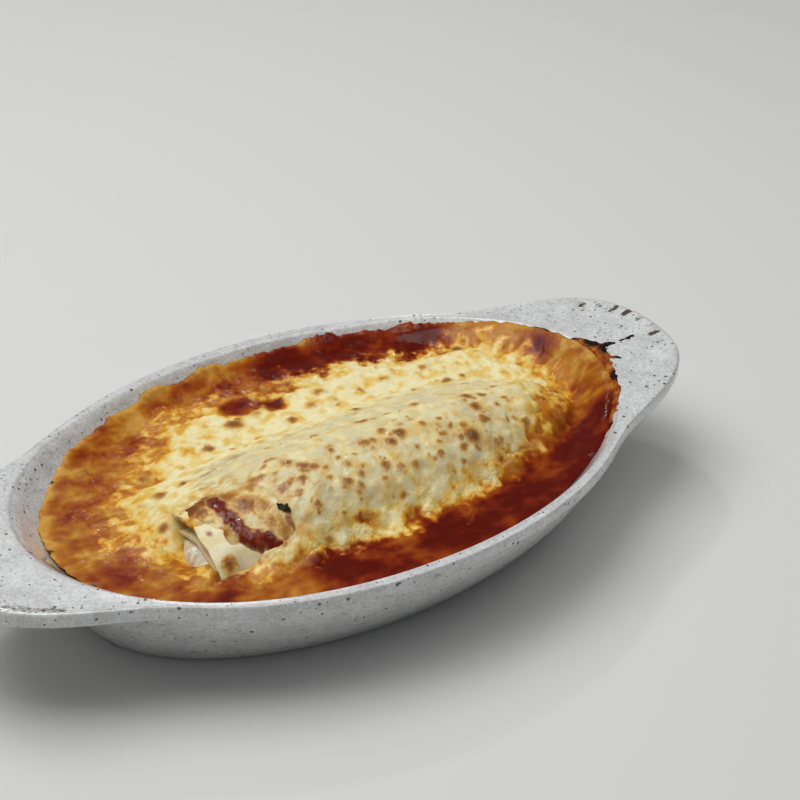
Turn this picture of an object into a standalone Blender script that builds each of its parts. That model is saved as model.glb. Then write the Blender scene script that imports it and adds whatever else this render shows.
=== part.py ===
"""Baked manicotti in its own oval stoneware gratin dish with two lug handles.

Metres, +Z up. The origin is the middle of the dish's foot, on its underside.
+X runs the long way, through both lugs; the roll's open mouth faces -X, and
the side with the bare sauce faces -Y.
"""
import math

import bmesh
import bpy
from mathutils import Vector, noise

# Dish, as oval rings: half of each ring's long way, and half of its short way
FOOT_LONG = 0.0779
FOOT_SHORT = 0.0451
RIM_LONG = 0.0960
RIM_SHORT = 0.0666
RIM_HEIGHT = 0.0321
BAND_HEIGHT = 0.0040
BAND_STEP = 0.0026
LEDGE_DROP = 0.0008
EDGE_ROUND = 0.0009
FOOT_ROUND = 0.0006
MOUTH_LONG = 0.0938
MOUTH_SHORT = 0.0629
FLOOR_LONG = 0.0680
FLOOR_SHORT = 0.0360
FLOOR_HEIGHT = 0.0060
WALL_SWELL = 1.4
WALL_RINGS = 5
# The rim's crown, from the bowl outwards: share of its width, drop in edge
# rounds, and the share of the lugs' reach that this ring has
RIM_CROWN = ((0.10, 0.25, 0.0), (0.30, 0.0, 0.12), (0.60, 0.45, 0.50), (0.86, 0.15, 0.94),
             (0.97, 0.60, 0.99), (1.0, 1.60, 1.0))

# Lugs: reach past the rim, half their angle, and how fast their shoulders fall
LUG_REACH = 0.0240
LUG_ANGLE = math.radians(21.1)
LUG_SHOULDER = 3.4
RISE = 0.0051
RISE_START = 0.0400
RISE_END = 0.1200
RISE_POWER = 1.5

# Gap between pieces that lie on each other, and the facets round the oval
GAP = 0.0004
WALL_GAP = 0.0005
SEGMENTS = 80
CREASE = math.radians(40)

# Sauce: its level at the middle, and how it climbs to the right and to the back
LEVEL = 0.0255
CLIMB_X = 0.020
CLIMB_Y = 0.025
FOOD_EDGE = {0: 0.0318, 25: 0.0296, 55: 0.0280, 90: 0.0286, 125: 0.0278,
             155: 0.0248, 180: 0.0240, 215: 0.0240, 270: 0.0246, 320: 0.0268}
CLING_WIDTH = 0.16
CRAG = 0.06
CRAG_SIZE = 0.09
# Scraps baked on to the wall above the sauce: where round the bowl, and how high
SCRAPS = {52: 0.0016, 69: 0.0022, 96: 0.0018, 107: 0.0026}
SCRAP_HALF = 4.0
FLOOR_SHARE = 0.5
SAUCE_BANDS = 10
CRUST_SIZE = 0.011
CRUST_HEIGHT = 0.0011

# Roll of pasta: ends, height of its underside, half sizes, and its swelling
ROLL_START = -0.0535
ROLL_END = 0.0580
ROLL_Y = -0.0150
ROLL_TURN = 0.025
ROLL_BOTTOM = 0.0080
ROLL_WIDE = 0.0183
ROLL_TALL = 0.0127
SWELL_WIDE = 0.08
SWELL_TALL = 0.17
SWELL_LENGTH = 0.035
FAR_TAPER = 0.16
FAR_LENGTH = 0.030
ROLL_STATIONS = 11
ROLL_SIDES = 40

# The sheet that is rolled up: its thickness, and its turn from the inner edge
PASTA_THICK = 0.0014
WRAP_START = math.radians(20)
WRAP_END = math.radians(590)
WRAP_STEPS = 33
INNER_WRAP = 0.74
INNER_TURN = math.radians(230)
OUTER_TURN = math.radians(330)

# Ricotta inside the roll
FILLING_SHARE = 0.60
FILLING_DROP = 0.0003
FILLING_INSET = 0.0040
FILLING_SIDES = 24
# Stations along the filling, with how full it is at each
FILLING_FORM = ((0.0, 0.72), (0.012, 0.94), (0.05, 1.0), (0.35, 1.0), (0.65, 1.0), (0.95, 1.0),
                (0.988, 0.94), (1.0, 0.72))

# Melted cheese: centre and reach of its edge by angle, and how thick it lies
CHEESE_X = 0.010
CHEESE_Y = 0.008
CHEESE_EDGE = {0: 0.074, 17: 0.066, 40: 0.047, 63: 0.036, 85: 0.035, 108: 0.045,
               134: 0.059, 158: 0.071, 177: 0.077, 188: 0.072, 194: 0.053, 205: 0.047,
               217: 0.050, 230: 0.0565, 250: 0.048, 281: 0.0437, 302: 0.052, 320: 0.065,
               336: 0.071, 349: 0.074}
CHEESE_WOBBLE = 0.05
CHEESE_WOBBLE_SIZE = 0.22
CHEESE_BANDS = 11
CHEESE_SEGMENTS = 72
CHEESE_THICK = 0.0018
CHEESE_EDGE_THICK = 0.0009
CHEESE_EDGE_ROUND = 6
CHEESE_LIFT = 0.0006
ROLL_END_ROUND = 0.0076
SAUCE_LIFT = 0.0010
BED_REACH = 0.0012
BLISTER_SIZE = 0.009
BLISTER_HEIGHT = 0.0006

# Spoonful of dark sauce on the roll beside its mouth
TOPPING_X = -0.0415
TOPPING_Y = -0.0195
TOPPING_EDGE = {27: 0.0062, 73: 0.0095, 108: 0.0130, 150: 0.0125, 168: 0.0082,
                207: 0.0045, 247: 0.0072, 279: 0.0125, 302: 0.0155, 318: 0.0125, 342: 0.0088}
TOPPING_THICK = 0.0014
TOPPING_EDGE_FALL = 0.6
TOPPING_LUMP = 0.0003
TOPPING_LUMP_SIZE = 0.004
TOPPING_SEGMENTS = 32
TOPPING_BANDS = 4

# Flake of dark green herb on that sauce
HERB_X = -0.0362
HERB_Y = -0.0262
HERB_LONG = 0.0021
HERB_SHORT = 0.0012
HERB_THICK = 0.0005
HERB_WAVE = 0.0002
HERB_WAVE_LENGTH = 0.0006
HERB_SEGMENTS = 12
HERB_BANDS = 3
HERB_TURN = math.radians(-52)

GLAZE_COLOUR = (0.58, 0.57, 0.54, 1.0)
SAUCE_COLOUR = (0.36, 0.060, 0.015, 1.0)
PASTA_COLOUR = (0.62, 0.50, 0.25, 1.0)
RICOTTA_COLOUR = (0.72, 0.66, 0.48, 1.0)
CHEESE_COLOUR = (0.66, 0.52, 0.24, 1.0)
TOPPING_COLOUR = (0.22, 0.022, 0.008, 1.0)
HERB_COLOUR = (0.035, 0.060, 0.015, 1.0)


def clear_scene():
    """Remove every object that the file opened with."""
    for thing in list(bpy.data.objects):
        bpy.data.objects.remove(thing, do_unlink=True)


def smooth(low, high, value):
    """Smooth step from 0 at low to 1 at high."""
    share = min(1.0, max(0.0, (value - low) / (high - low)))
    return share * share * (3.0 - 2.0 * share)


def ripple(x, y, size, seed):
    """Smooth noise from about -1 to 1, with lumps of the given size."""
    return noise.noise(Vector((x / size, y / size, seed)))


def around(table, angle):
    """Read a table of angle in degrees to value, eased between its entries."""
    degrees = math.degrees(angle) % 360.0
    keys = sorted(table)
    after = next((key for key in keys if key > degrees), keys[0] + 360)
    before = max((key for key in keys if key <= degrees), default=keys[-1] - 360)
    if after - before > 360:
        after -= 360
    share = smooth(before, after, degrees)
    return table[before % 360] * (1.0 - share) + table[after % 360] * share


def piece(name, mesh, collection, colour, roughness):
    """Make an object of a mesh, smooth shaded, with its own plain material."""
    material = bpy.data.materials.new(name + "_material")
    material.use_nodes = True
    shader = material.node_tree.nodes["Principled BSDF"]
    shader.inputs["Base Color"].default_value = colour
    shader.inputs["Roughness"].default_value = roughness
    shader.inputs["Metallic"].default_value = 0.0
    mesh.materials.append(material)
    mesh.shade_smooth()
    mesh.set_sharp_from_angle(angle=CREASE)
    made = bpy.data.objects.new(name, mesh)
    collection.objects.link(made)
    return made


def finish_mesh(bm, name):
    """Turn the faces outwards and write the working mesh to a new one."""
    if bm.calc_volume(signed=True) < 0.0:
        bmesh.ops.reverse_faces(bm, faces=bm.faces)
    mesh = bpy.data.meshes.new(name)
    bm.to_mesh(mesh)
    bm.free()
    return mesh


def loft(name, rings, ribbon=False):
    """Skin a row of rings of unlike shape; a ribbon's ends close strip by strip."""
    bm = bmesh.new()
    rows = [[bm.verts.new(point) for point in ring] for ring in rings]
    count = len(rows[0])
    for row, following in zip(rows, rows[1:]):
        for here in range(count):
            beside = (here + 1) % count
            bm.faces.new((row[here], row[beside], following[beside], following[here]))
    for row in (rows[0][::-1], rows[-1]):
        if not ribbon:
            bm.faces.new(row)
            continue
        for here in range(count // 2 - 1):
            bm.faces.new((row[here], row[here + 1], row[count - 2 - here], row[count - 1 - here]))
    return finish_mesh(bm, name)


def blanket(name, segments, bands, place):
    """Reshape a ball into a lens: place(angle, share, upper) gives each point."""
    bm = bmesh.new()
    bmesh.ops.create_uvsphere(bm, u_segments=segments, v_segments=2 * bands, radius=1.0)
    for vert in bm.verts:
        angle = math.atan2(vert.co.y, vert.co.x)
        share = 1.0 - math.asin(min(1.0, abs(vert.co.z))) / (math.pi / 2.0)
        vert.co = place(angle, share, vert.co.z > 0.0)
    return finish_mesh(bm, name)


def lift(x, z):
    """Height of a point of the dish once both ends sweep up to the lugs."""
    out = max(0.0, (abs(x) - RISE_START) / (RISE_END - RISE_START))
    return z + RISE * out * out * (z / RIM_HEIGHT) ** RISE_POWER


def oval(long_half, short_half, z, lug=0.0):
    """Points of one oval ring of the dish; lug is the share of the handles it has."""
    points = []
    for step in range(SEGMENTS):
        angle = 2.0 * math.pi * step / SEGMENTS
        points.append(oval_point(angle, long_half, short_half, z, lug))
    return points


def oval_point(angle, long_half, short_half, z, lug=0.0):
    """One point of an oval ring, pushed out where a handle is."""
    x = long_half * math.cos(angle)
    y = short_half * math.sin(angle)
    off_axis = math.atan2(abs(y), abs(x))
    reach = LUG_REACH * lug * math.exp(-((off_axis / LUG_ANGLE) ** LUG_SHOULDER))
    length = math.hypot(x, y)
    x *= 1.0 + reach / length
    y *= 1.0 + reach / length
    return Vector((x, y, lift(x, z)))


def inner_halves(z):
    """Half the long way and half the short way across the bowl at a height."""
    share = (z - FLOOR_HEIGHT) / (RIM_HEIGHT - FLOOR_HEIGHT)
    long_half = FLOOR_LONG + (MOUTH_LONG - FLOOR_LONG) * share
    short_half = FLOOR_SHORT + (MOUTH_SHORT - FLOOR_SHORT) * (1.0 - (1.0 - share) ** WALL_SWELL)
    return long_half, short_half


def bowl_rings():
    """Rings from the bowl's floor up its inner wall."""
    climb = RIM_HEIGHT - EDGE_ROUND - FLOOR_HEIGHT
    heights = [FLOOR_HEIGHT + climb * step / WALL_RINGS for step in range(WALL_RINGS + 1)]
    return [oval(*inner_halves(z), z) for z in heights]


def rim_rings():
    """Rings over the rim and lugs, down the band and in under it."""
    rings = []
    for share, drop, lug in RIM_CROWN:
        long_half = MOUTH_LONG + (RIM_LONG - MOUTH_LONG) * share
        short_half = MOUTH_SHORT + (RIM_SHORT - MOUTH_SHORT) * share
        rings.append(oval(long_half, short_half, RIM_HEIGHT - drop * EDGE_ROUND, lug))
    low = RIM_HEIGHT - BAND_HEIGHT
    under = ((0.0, EDGE_ROUND, 1.0), (0.14, 0.0, 0.98), (0.45, -0.4 * LEDGE_DROP, 0.60))
    for inwards, above, lug in under:
        step = BAND_STEP * inwards
        rings.append(oval(RIM_LONG - step, RIM_SHORT - step, low + above, lug))
    return rings


def foot_rings():
    """Rings from the ledge under the rim down the outer wall to the foot."""
    wall_long = RIM_LONG - BAND_STEP
    wall_short = RIM_SHORT - BAND_STEP
    ledge = RIM_HEIGHT - BAND_HEIGHT - LEDGE_DROP
    rings = [oval(wall_long, wall_short, ledge, 0.06)]
    for step in range(1, WALL_RINGS):
        share = 1.0 - step / WALL_RINGS
        swell = 1.0 - (1.0 - share) ** WALL_SWELL
        long_half = FOOT_LONG + (wall_long - FOOT_LONG) * 0.5 * (share + swell)
        short_half = FOOT_SHORT + (wall_short - FOOT_SHORT) * swell
        rings.append(oval(long_half, short_half, ledge * share))
    rings.append(oval(FOOT_LONG + 0.5 * FOOT_ROUND, FOOT_SHORT + 0.5 * FOOT_ROUND, FOOT_ROUND))
    rings.append(oval(FOOT_LONG - FOOT_ROUND, FOOT_SHORT - FOOT_ROUND, 0.0))
    return rings


def roll_halves(x):
    """Half width and half height of the roll at a place along it."""
    swell = smooth(ROLL_START, ROLL_START + SWELL_LENGTH, x)
    fall = smooth(ROLL_END - FAR_LENGTH, ROLL_END, x)
    wide = ROLL_WIDE * (1.0 + SWELL_WIDE * swell - FAR_TAPER * fall)
    tall = ROLL_TALL * (1.0 + SWELL_TALL * swell - FAR_TAPER * fall)
    return wide, tall


def roll_middle(x):
    """Sideways place of the roll's axis."""
    return ROLL_Y + ROLL_TURN * (x - ROLL_START)


def roll_top(x, y, margin):
    """Height of the roll's upper side grown by a margin, with rounded ends."""
    wide, tall = roll_halves(x)
    beyond = max(0.0, x - ROLL_END, ROLL_START - x) / ROLL_END_ROUND
    inside = 1.0 - ((y - roll_middle(x)) / (wide + margin)) ** 2 - beyond ** 2
    if inside <= 0.0:
        return 0.0
    return ROLL_BOTTOM + tall + (tall + margin) * math.sqrt(inside)


def sauce_level(x, y):
    """Height of the sauce away from the wall, with its baked lumps."""
    lumps = ripple(x, y, CRUST_SIZE, 3.0) + 0.5 * ripple(x, y, 0.5 * CRUST_SIZE, 7.0)
    return LEVEL + CLIMB_X * x + CLIMB_Y * y + CRUST_HEIGHT * 0.5 * lumps


def wall_point(angle, z):
    """Point just clear of the bowl's wall at a height before the ends rise."""
    long_half, short_half = inner_halves(z)
    return oval_point(angle, long_half - WALL_GAP, short_half - WALL_GAP, z)


def food_line(angle):
    """Height at which the baked edge of the sauce ends on the wall."""
    crag = 1.0 + CRAG * ripple(math.cos(angle), math.sin(angle), CRAG_SIZE, 5.0)
    height = FLOOR_HEIGHT + (around(FOOD_EDGE, angle) - FLOOR_HEIGHT) * crag
    degrees = math.degrees(angle) % 360.0
    for place, reach in SCRAPS.items():
        height += reach * math.exp(-(((degrees - place) / SCRAP_HALF) ** 2))
    return min(height, RIM_HEIGHT - EDGE_ROUND)


def sauce_skin(x, y, share, edge_height):
    """Height of the sauce's top, which climbs the wall over its last stretch."""
    cling = smooth(1.0 - CLING_WIDTH, 1.0, share)
    return sauce_level(x, y) * (1.0 - cling) + edge_height * cling


def sauce_top(x, y):
    """Height of the sauce's top at a place in plan."""
    angle = math.atan2(y / MOUTH_SHORT, x / MOUTH_LONG)
    edge = wall_point(angle, food_line(angle))
    return sauce_skin(x, y, math.hypot(x, y) / math.hypot(edge.x, edge.y), edge.z)


def sauce_point(angle, share, upper):
    """Point of the sauce: its skin above, and the bowl's inside below."""
    if upper:
        edge = wall_point(angle, food_line(angle))
        x = edge.x * share
        y = edge.y * share
        return Vector((x, y, sauce_skin(x, y, share, edge.z)))
    climb = max(0.0, (share - FLOOR_SHARE) / (1.0 - FLOOR_SHARE))
    across = min(1.0, share / FLOOR_SHARE)
    point = wall_point(angle, FLOOR_HEIGHT + (food_line(angle) - FLOOR_HEIGHT) * climb)
    return Vector((point.x * across, point.y * across, point.z + GAP * (1.0 - climb)))


def roll_section(x, turn, share, drop=0.0):
    """Point of the roll at a place along it, a turn round it and a share out."""
    wide, tall = roll_halves(x)
    y = roll_middle(x) + wide * share * math.cos(turn)
    z = ROLL_BOTTOM + tall + tall * share * math.sin(turn) - drop
    return Vector((x, y, z))


def wrap_share(turn):
    """How far out the sheet lies at a turn: inner lap first, then the outer."""
    return INNER_WRAP + (1.0 - INNER_WRAP) * smooth(INNER_TURN, OUTER_TURN, turn)


def pasta_rings():
    """Spiral ribbon sections from the open mouth to the far end."""
    rings = []
    for station in range(ROLL_STATIONS):
        x = ROLL_START + (ROLL_END - ROLL_START) * station / (ROLL_STATIONS - 1)
        thin = PASTA_THICK / (0.5 * sum(roll_halves(x)))
        outer = []
        inner = []
        for step in range(WRAP_STEPS + 1):
            turn = WRAP_START + (WRAP_END - WRAP_START) * step / WRAP_STEPS
            share = wrap_share(turn)
            outer.append(roll_section(x, turn, share))
            inner.append(roll_section(x, turn, share - thin))
        rings.append(outer + inner[::-1])
    return rings


def filling_rings():
    """Rounded core of ricotta that runs through the roll."""
    start = ROLL_START + FILLING_INSET
    end = ROLL_END - FILLING_INSET
    rings = []
    for along, full in FILLING_FORM:
        x = start + (end - start) * along
        turns = [2.0 * math.pi * side / FILLING_SIDES for side in range(FILLING_SIDES)]
        rings.append([roll_section(x, turn, FILLING_SHARE * full, FILLING_DROP) for turn in turns])
    return rings


def hollow_rings():
    """The roll's outside grown by the gap, which the sauce leaves free."""
    rings = []
    length = ROLL_END - ROLL_START
    for station in range(ROLL_STATIONS):
        x = ROLL_START - GAP + (length + 2.0 * GAP) * station / (ROLL_STATIONS - 1)
        wide, tall = roll_halves(x)
        ring = []
        for side in range(ROLL_SIDES):
            turn = 2.0 * math.pi * side / ROLL_SIDES
            y = roll_middle(x) + (wide + WALL_GAP) * math.cos(turn)
            z = ROLL_BOTTOM + tall + (tall + WALL_GAP) * math.sin(turn)
            ring.append(Vector((x, y, z)))
        rings.append(ring)
    return rings


def bed(x, y):
    """Height of what the cheese lies on close to a place: sauce, or roll where it stands out."""
    steps = ((0.0, 0.0), (BED_REACH, 0.0), (-BED_REACH, 0.0), (0.0, BED_REACH), (0.0, -BED_REACH))
    roll = max(roll_top(x + dx, y + dy, CHEESE_LIFT) for dx, dy in steps)
    return max(sauce_top(x, y) + SAUCE_LIFT, roll)


def cheese_point(angle, share, upper):
    """Point of the cheese, draped over the sauce and the roll."""
    wobble = CHEESE_WOBBLE * ripple(math.cos(angle), math.sin(angle), CHEESE_WOBBLE_SIZE, 11.0)
    reach = around(CHEESE_EDGE, angle) * (1.0 + wobble) * share
    x = CHEESE_X + reach * math.cos(angle)
    y = CHEESE_Y + reach * math.sin(angle)
    z = bed(x, y)
    if upper:
        blister = BLISTER_HEIGHT * ripple(x, y, BLISTER_SIZE, 2.0)
        full = CHEESE_THICK + blister
        z += CHEESE_EDGE_THICK + (full - CHEESE_EDGE_THICK) * (1.0 - share ** CHEESE_EDGE_ROUND)
    return Vector((x, y, z))


def topping_point(angle, share, upper):
    """Point of the dark sauce spooned over the roll beside its mouth."""
    reach = around(TOPPING_EDGE, angle) * share
    x = TOPPING_X + reach * math.cos(angle)
    y = TOPPING_Y + reach * math.sin(angle)
    z = roll_top(x, y, CHEESE_LIFT)
    if upper:
        z += TOPPING_THICK * (1.0 - TOPPING_EDGE_FALL * share ** 4)
        z += TOPPING_LUMP * ripple(x, y, TOPPING_LUMP_SIZE, 9.0)
    return Vector((x, y, z))


def herb_point(angle, share, upper):
    """Point of a wavy flake of leaf that lies on the dark sauce."""
    along = HERB_LONG * share * math.cos(angle)
    across = HERB_SHORT * share * math.sin(angle)
    x = HERB_X + along * math.cos(HERB_TURN) - across * math.sin(HERB_TURN)
    y = HERB_Y + along * math.sin(HERB_TURN) + across * math.cos(HERB_TURN)
    z = roll_top(x, y, CHEESE_LIFT) + TOPPING_THICK + 2.0 * GAP
    z += HERB_WAVE * math.sin(along / HERB_WAVE_LENGTH)
    return Vector((x, y, z + HERB_THICK if upper else z))


def cut(body, cutter):
    """Take the cutter's shape out of a body."""
    modifier = body.modifiers.new("hollow", "BOOLEAN")
    modifier.operation = "DIFFERENCE"
    modifier.solver = "EXACT"
    modifier.object = cutter


def build():
    """Make every piece, from the dish up."""
    clear_scene()
    parts = bpy.data.collections.new("manicotti")
    cutters = bpy.data.collections.new("cutters")
    bpy.context.scene.collection.children.link(parts)
    bpy.context.scene.collection.children.link(cutters)

    dish_mesh = loft("dish", bowl_rings() + rim_rings() + foot_rings())
    piece("dish", dish_mesh, parts, GLAZE_COLOUR, 0.25)
    sauce_mesh = blanket("sauce", SEGMENTS, SAUCE_BANDS, sauce_point)
    sauce = piece("sauce", sauce_mesh, parts, SAUCE_COLOUR, 0.35)
    hollow = piece("roll_hollow", loft("roll_hollow", hollow_rings()), cutters, SAUCE_COLOUR, 0.5)
    hollow.hide_render = True
    hollow.display_type = "WIRE"
    cut(sauce, hollow)
    piece("pasta", loft("pasta", pasta_rings(), ribbon=True), parts, PASTA_COLOUR, 0.4)
    piece("filling", loft("filling", filling_rings()), parts, RICOTTA_COLOUR, 0.5)
    cheese_mesh = blanket("cheese", CHEESE_SEGMENTS, CHEESE_BANDS, cheese_point)
    piece("cheese", cheese_mesh, parts, CHEESE_COLOUR, 0.35)
    topping_mesh = blanket("sauce_topping", TOPPING_SEGMENTS, TOPPING_BANDS, topping_point)
    piece("sauce_topping", topping_mesh, parts, TOPPING_COLOUR, 0.3)
    herb_mesh = blanket("herb_flake", HERB_SEGMENTS, HERB_BANDS, herb_point)
    piece("herb_flake", herb_mesh, parts, HERB_COLOUR, 0.6)


build()
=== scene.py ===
"""Looks of one serving of baked manicotti in its oval stoneware gratin dish.

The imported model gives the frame: every piece here is made in the same metres and
places as its solid. Sizes in the classes are millimetres, because the food's
detail is a few millimetres across. +X runs along the dish, the open end of the
roll faces -X, and the side of the bare sauce faces -Y.
"""
from __future__ import annotations

import logging
import math
from collections.abc import Callable, Iterable
from dataclasses import dataclass, field

import bmesh
import bpy
import numpy as np
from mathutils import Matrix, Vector

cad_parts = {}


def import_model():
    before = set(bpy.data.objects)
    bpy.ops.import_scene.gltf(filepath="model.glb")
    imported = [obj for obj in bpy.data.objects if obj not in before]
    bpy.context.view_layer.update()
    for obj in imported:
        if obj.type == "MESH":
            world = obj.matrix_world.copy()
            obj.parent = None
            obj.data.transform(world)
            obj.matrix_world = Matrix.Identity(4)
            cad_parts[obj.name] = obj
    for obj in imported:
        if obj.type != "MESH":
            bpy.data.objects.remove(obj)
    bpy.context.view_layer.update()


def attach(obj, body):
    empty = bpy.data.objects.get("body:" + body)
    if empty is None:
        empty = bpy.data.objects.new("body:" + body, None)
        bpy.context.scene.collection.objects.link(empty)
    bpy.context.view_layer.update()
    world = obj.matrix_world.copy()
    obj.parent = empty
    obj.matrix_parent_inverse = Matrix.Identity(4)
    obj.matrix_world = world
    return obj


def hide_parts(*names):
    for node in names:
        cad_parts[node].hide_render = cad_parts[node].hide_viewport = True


LOG = logging.getLogger("manicotti")
MM = 0.001
ROOT = "root"

Array = np.ndarray
Piece = bpy.types.Object
Pair = tuple[float, float]
Triple = tuple[float, float, float]
Spot = tuple[float, float, float, float]
Course = tuple[Pair, ...]
Field = Callable[[Array, Array], Array]

# The values painted on the food's vertices, which BakedTop reads by name
PAINTED = ("cover", "crust", "toast", "char", "veil", "sheer", "wet")


def srgb(code: str) -> tuple[float, float, float, float]:
    """Turn an sRGB hex value to linear colour.

    Args:
        code: Six hex digits after a hash sign.

    Returns:
        Linear red, green, blue and an alpha of one.
    """
    parts = [int(code[place:place + 2], 16) / 255.0 for place in (1, 3, 5)]
    linear = [part / 12.92 if part <= 0.04045 else ((part + 0.055) / 1.055) ** 2.4 for part in parts]
    return (*linear, 1.0)


def smooth(low: float, high: float, value: Array) -> Array:
    """Ease from 0 at low to 1 at high.

    Args:
        low: Where the step starts; it may be above high.
        high: Where the step ends.
        value: Places to read.

    Returns:
        Shares from 0 to 1.
    """
    share = np.clip((value - low) / (high - low), 0.0, 1.0)
    return share * share * (3.0 - 2.0 * share)


def blend_max(first: Array, second: Array, width: float) -> Array:
    """Larger of two heights, with the crease between them rounded off.

    Args:
        first: One height in millimetres.
        second: The other height.
        width: How wide the fillet is, in millimetres.

    Returns:
        Heights of the rounded union.
    """
    return 0.5 * (first + second + np.sqrt((first - second) ** 2 + width * width))


@dataclass(frozen=True)
class Lumps:
    """Fractal noise over the plan, for anything baked, torn or curdled.

    Attributes:
        size: Breadth of the largest lumps in millimetres.
        octaves: Number of finer layers on top of each other.
        seed: Which draw of the noise.
        keep: Strength that each finer layer keeps.
        stretch: How much longer lumps are along X than along Y.
    """

    size: float
    octaves: int = 1
    seed: int = 0
    keep: float = 0.55
    stretch: float = 1.0

    def _layer(self, x: Array, y: Array, seed: int) -> Array:
        """One layer of gradient noise on a unit lattice.

        Args:
            x: Lattice places along X.
            y: Lattice places along Y.
            seed: Which draw.

        Returns:
            Values from about -1 to 1.
        """
        draw = np.random.default_rng(seed)
        turns = draw.random(256) * 2.0 * math.pi
        order = draw.permutation(256)
        cell_x = np.floor(x).astype(np.int64)
        cell_y = np.floor(y).astype(np.int64)
        off_x = x - cell_x
        off_y = y - cell_y
        ease_x = off_x * off_x * off_x * (off_x * (off_x * 6.0 - 15.0) + 10.0)
        ease_y = off_y * off_y * off_y * (off_y * (off_y * 6.0 - 15.0) + 10.0)
        corners = []
        for step_y in (0, 1):
            for step_x in (0, 1):
                key = order[(order[(cell_x + step_x) % 256] + cell_y + step_y) % 256]
                turn = turns[key]
                corners.append(np.cos(turn) * (off_x - step_x) + np.sin(turn) * (off_y - step_y))
        low = corners[0] + ease_x * (corners[1] - corners[0])
        high = corners[2] + ease_x * (corners[3] - corners[2])
        return 1.6 * (low + ease_y * (high - low))

    def at(self, x: Array, y: Array) -> Array:
        """Noise at places given in millimetres.

        Args:
            x: Places along.
            y: Places across.

        Returns:
            Values from about -1 to 1.
        """
        total = np.zeros_like(x, dtype=float)
        strength = 1.0
        size = self.size
        for octave in range(self.octaves):
            total += strength * self._layer(x / (size * self.stretch), y / size, self.seed + 17 * octave)
            strength *= self.keep
            size *= 0.5
        return total


def around(table: dict[float, float], turn: Array) -> Array:
    """Read a table of degrees to value round a full turn, eased between entries.

    Args:
        table: Values by angle in degrees, from 0 up to less than 360.
        turn: Angles in radians.

    Returns:
        The value at each angle.
    """
    keys = np.array(sorted(table))
    values = np.array([table[key] for key in keys])
    keys = np.concatenate((keys, [keys[0] + 360.0]))
    values = np.concatenate((values, [values[0]]))
    degrees = np.degrees(turn) % 360.0
    degrees = np.where(degrees < keys[0], degrees + 360.0, degrees)
    slot = np.clip(np.searchsorted(keys, degrees, side="right") - 1, 0, len(keys) - 2)
    share = (degrees - keys[slot]) / (keys[slot + 1] - keys[slot])
    share = share * share * (3.0 - 2.0 * share)
    return values[slot] * (1.0 - share) + values[slot + 1] * share


def domes(spots: Iterable[Spot], x: Array, y: Array, power: float = 2.0) -> Array:
    """Highest of many soft round spots.

    Args:
        spots: Place, radius and strength of each spot, in millimetres.
        x: Places along.
        y: Places across.
        power: How flat the spots' tops are; 2 is a plain bell.

    Returns:
        The strongest spot's value at each place, from 0.
    """
    total = np.zeros_like(x, dtype=float)
    for spot_x, spot_y, radius, strength in spots:
        away = np.hypot(x - spot_x, y - spot_y) / radius
        near = away < 3.0
        total[near] = np.maximum(total[near], strength * np.exp(-(away[near] ** power)))
    return total


def away_from(course: Course, x: Array, y: Array) -> Array:
    """Distance in plan from a course of points joined by straight lines.

    Args:
        course: Places along and across, in millimetres.
        x: Places along.
        y: Places across.

    Returns:
        Distances in millimetres.
    """
    nearest = np.full_like(x, 999.0, dtype=float)
    for (start_x, start_y), (end_x, end_y) in zip(course, course[1:]):
        run_x, run_y = end_x - start_x, end_y - start_y
        share = np.clip(((x - start_x) * run_x + (y - start_y) * run_y) / (run_x ** 2 + run_y ** 2), 0.0, 1.0)
        nearest = np.minimum(nearest, np.hypot(x - start_x - share * run_x, y - start_y - share * run_y))
    return nearest


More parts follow.
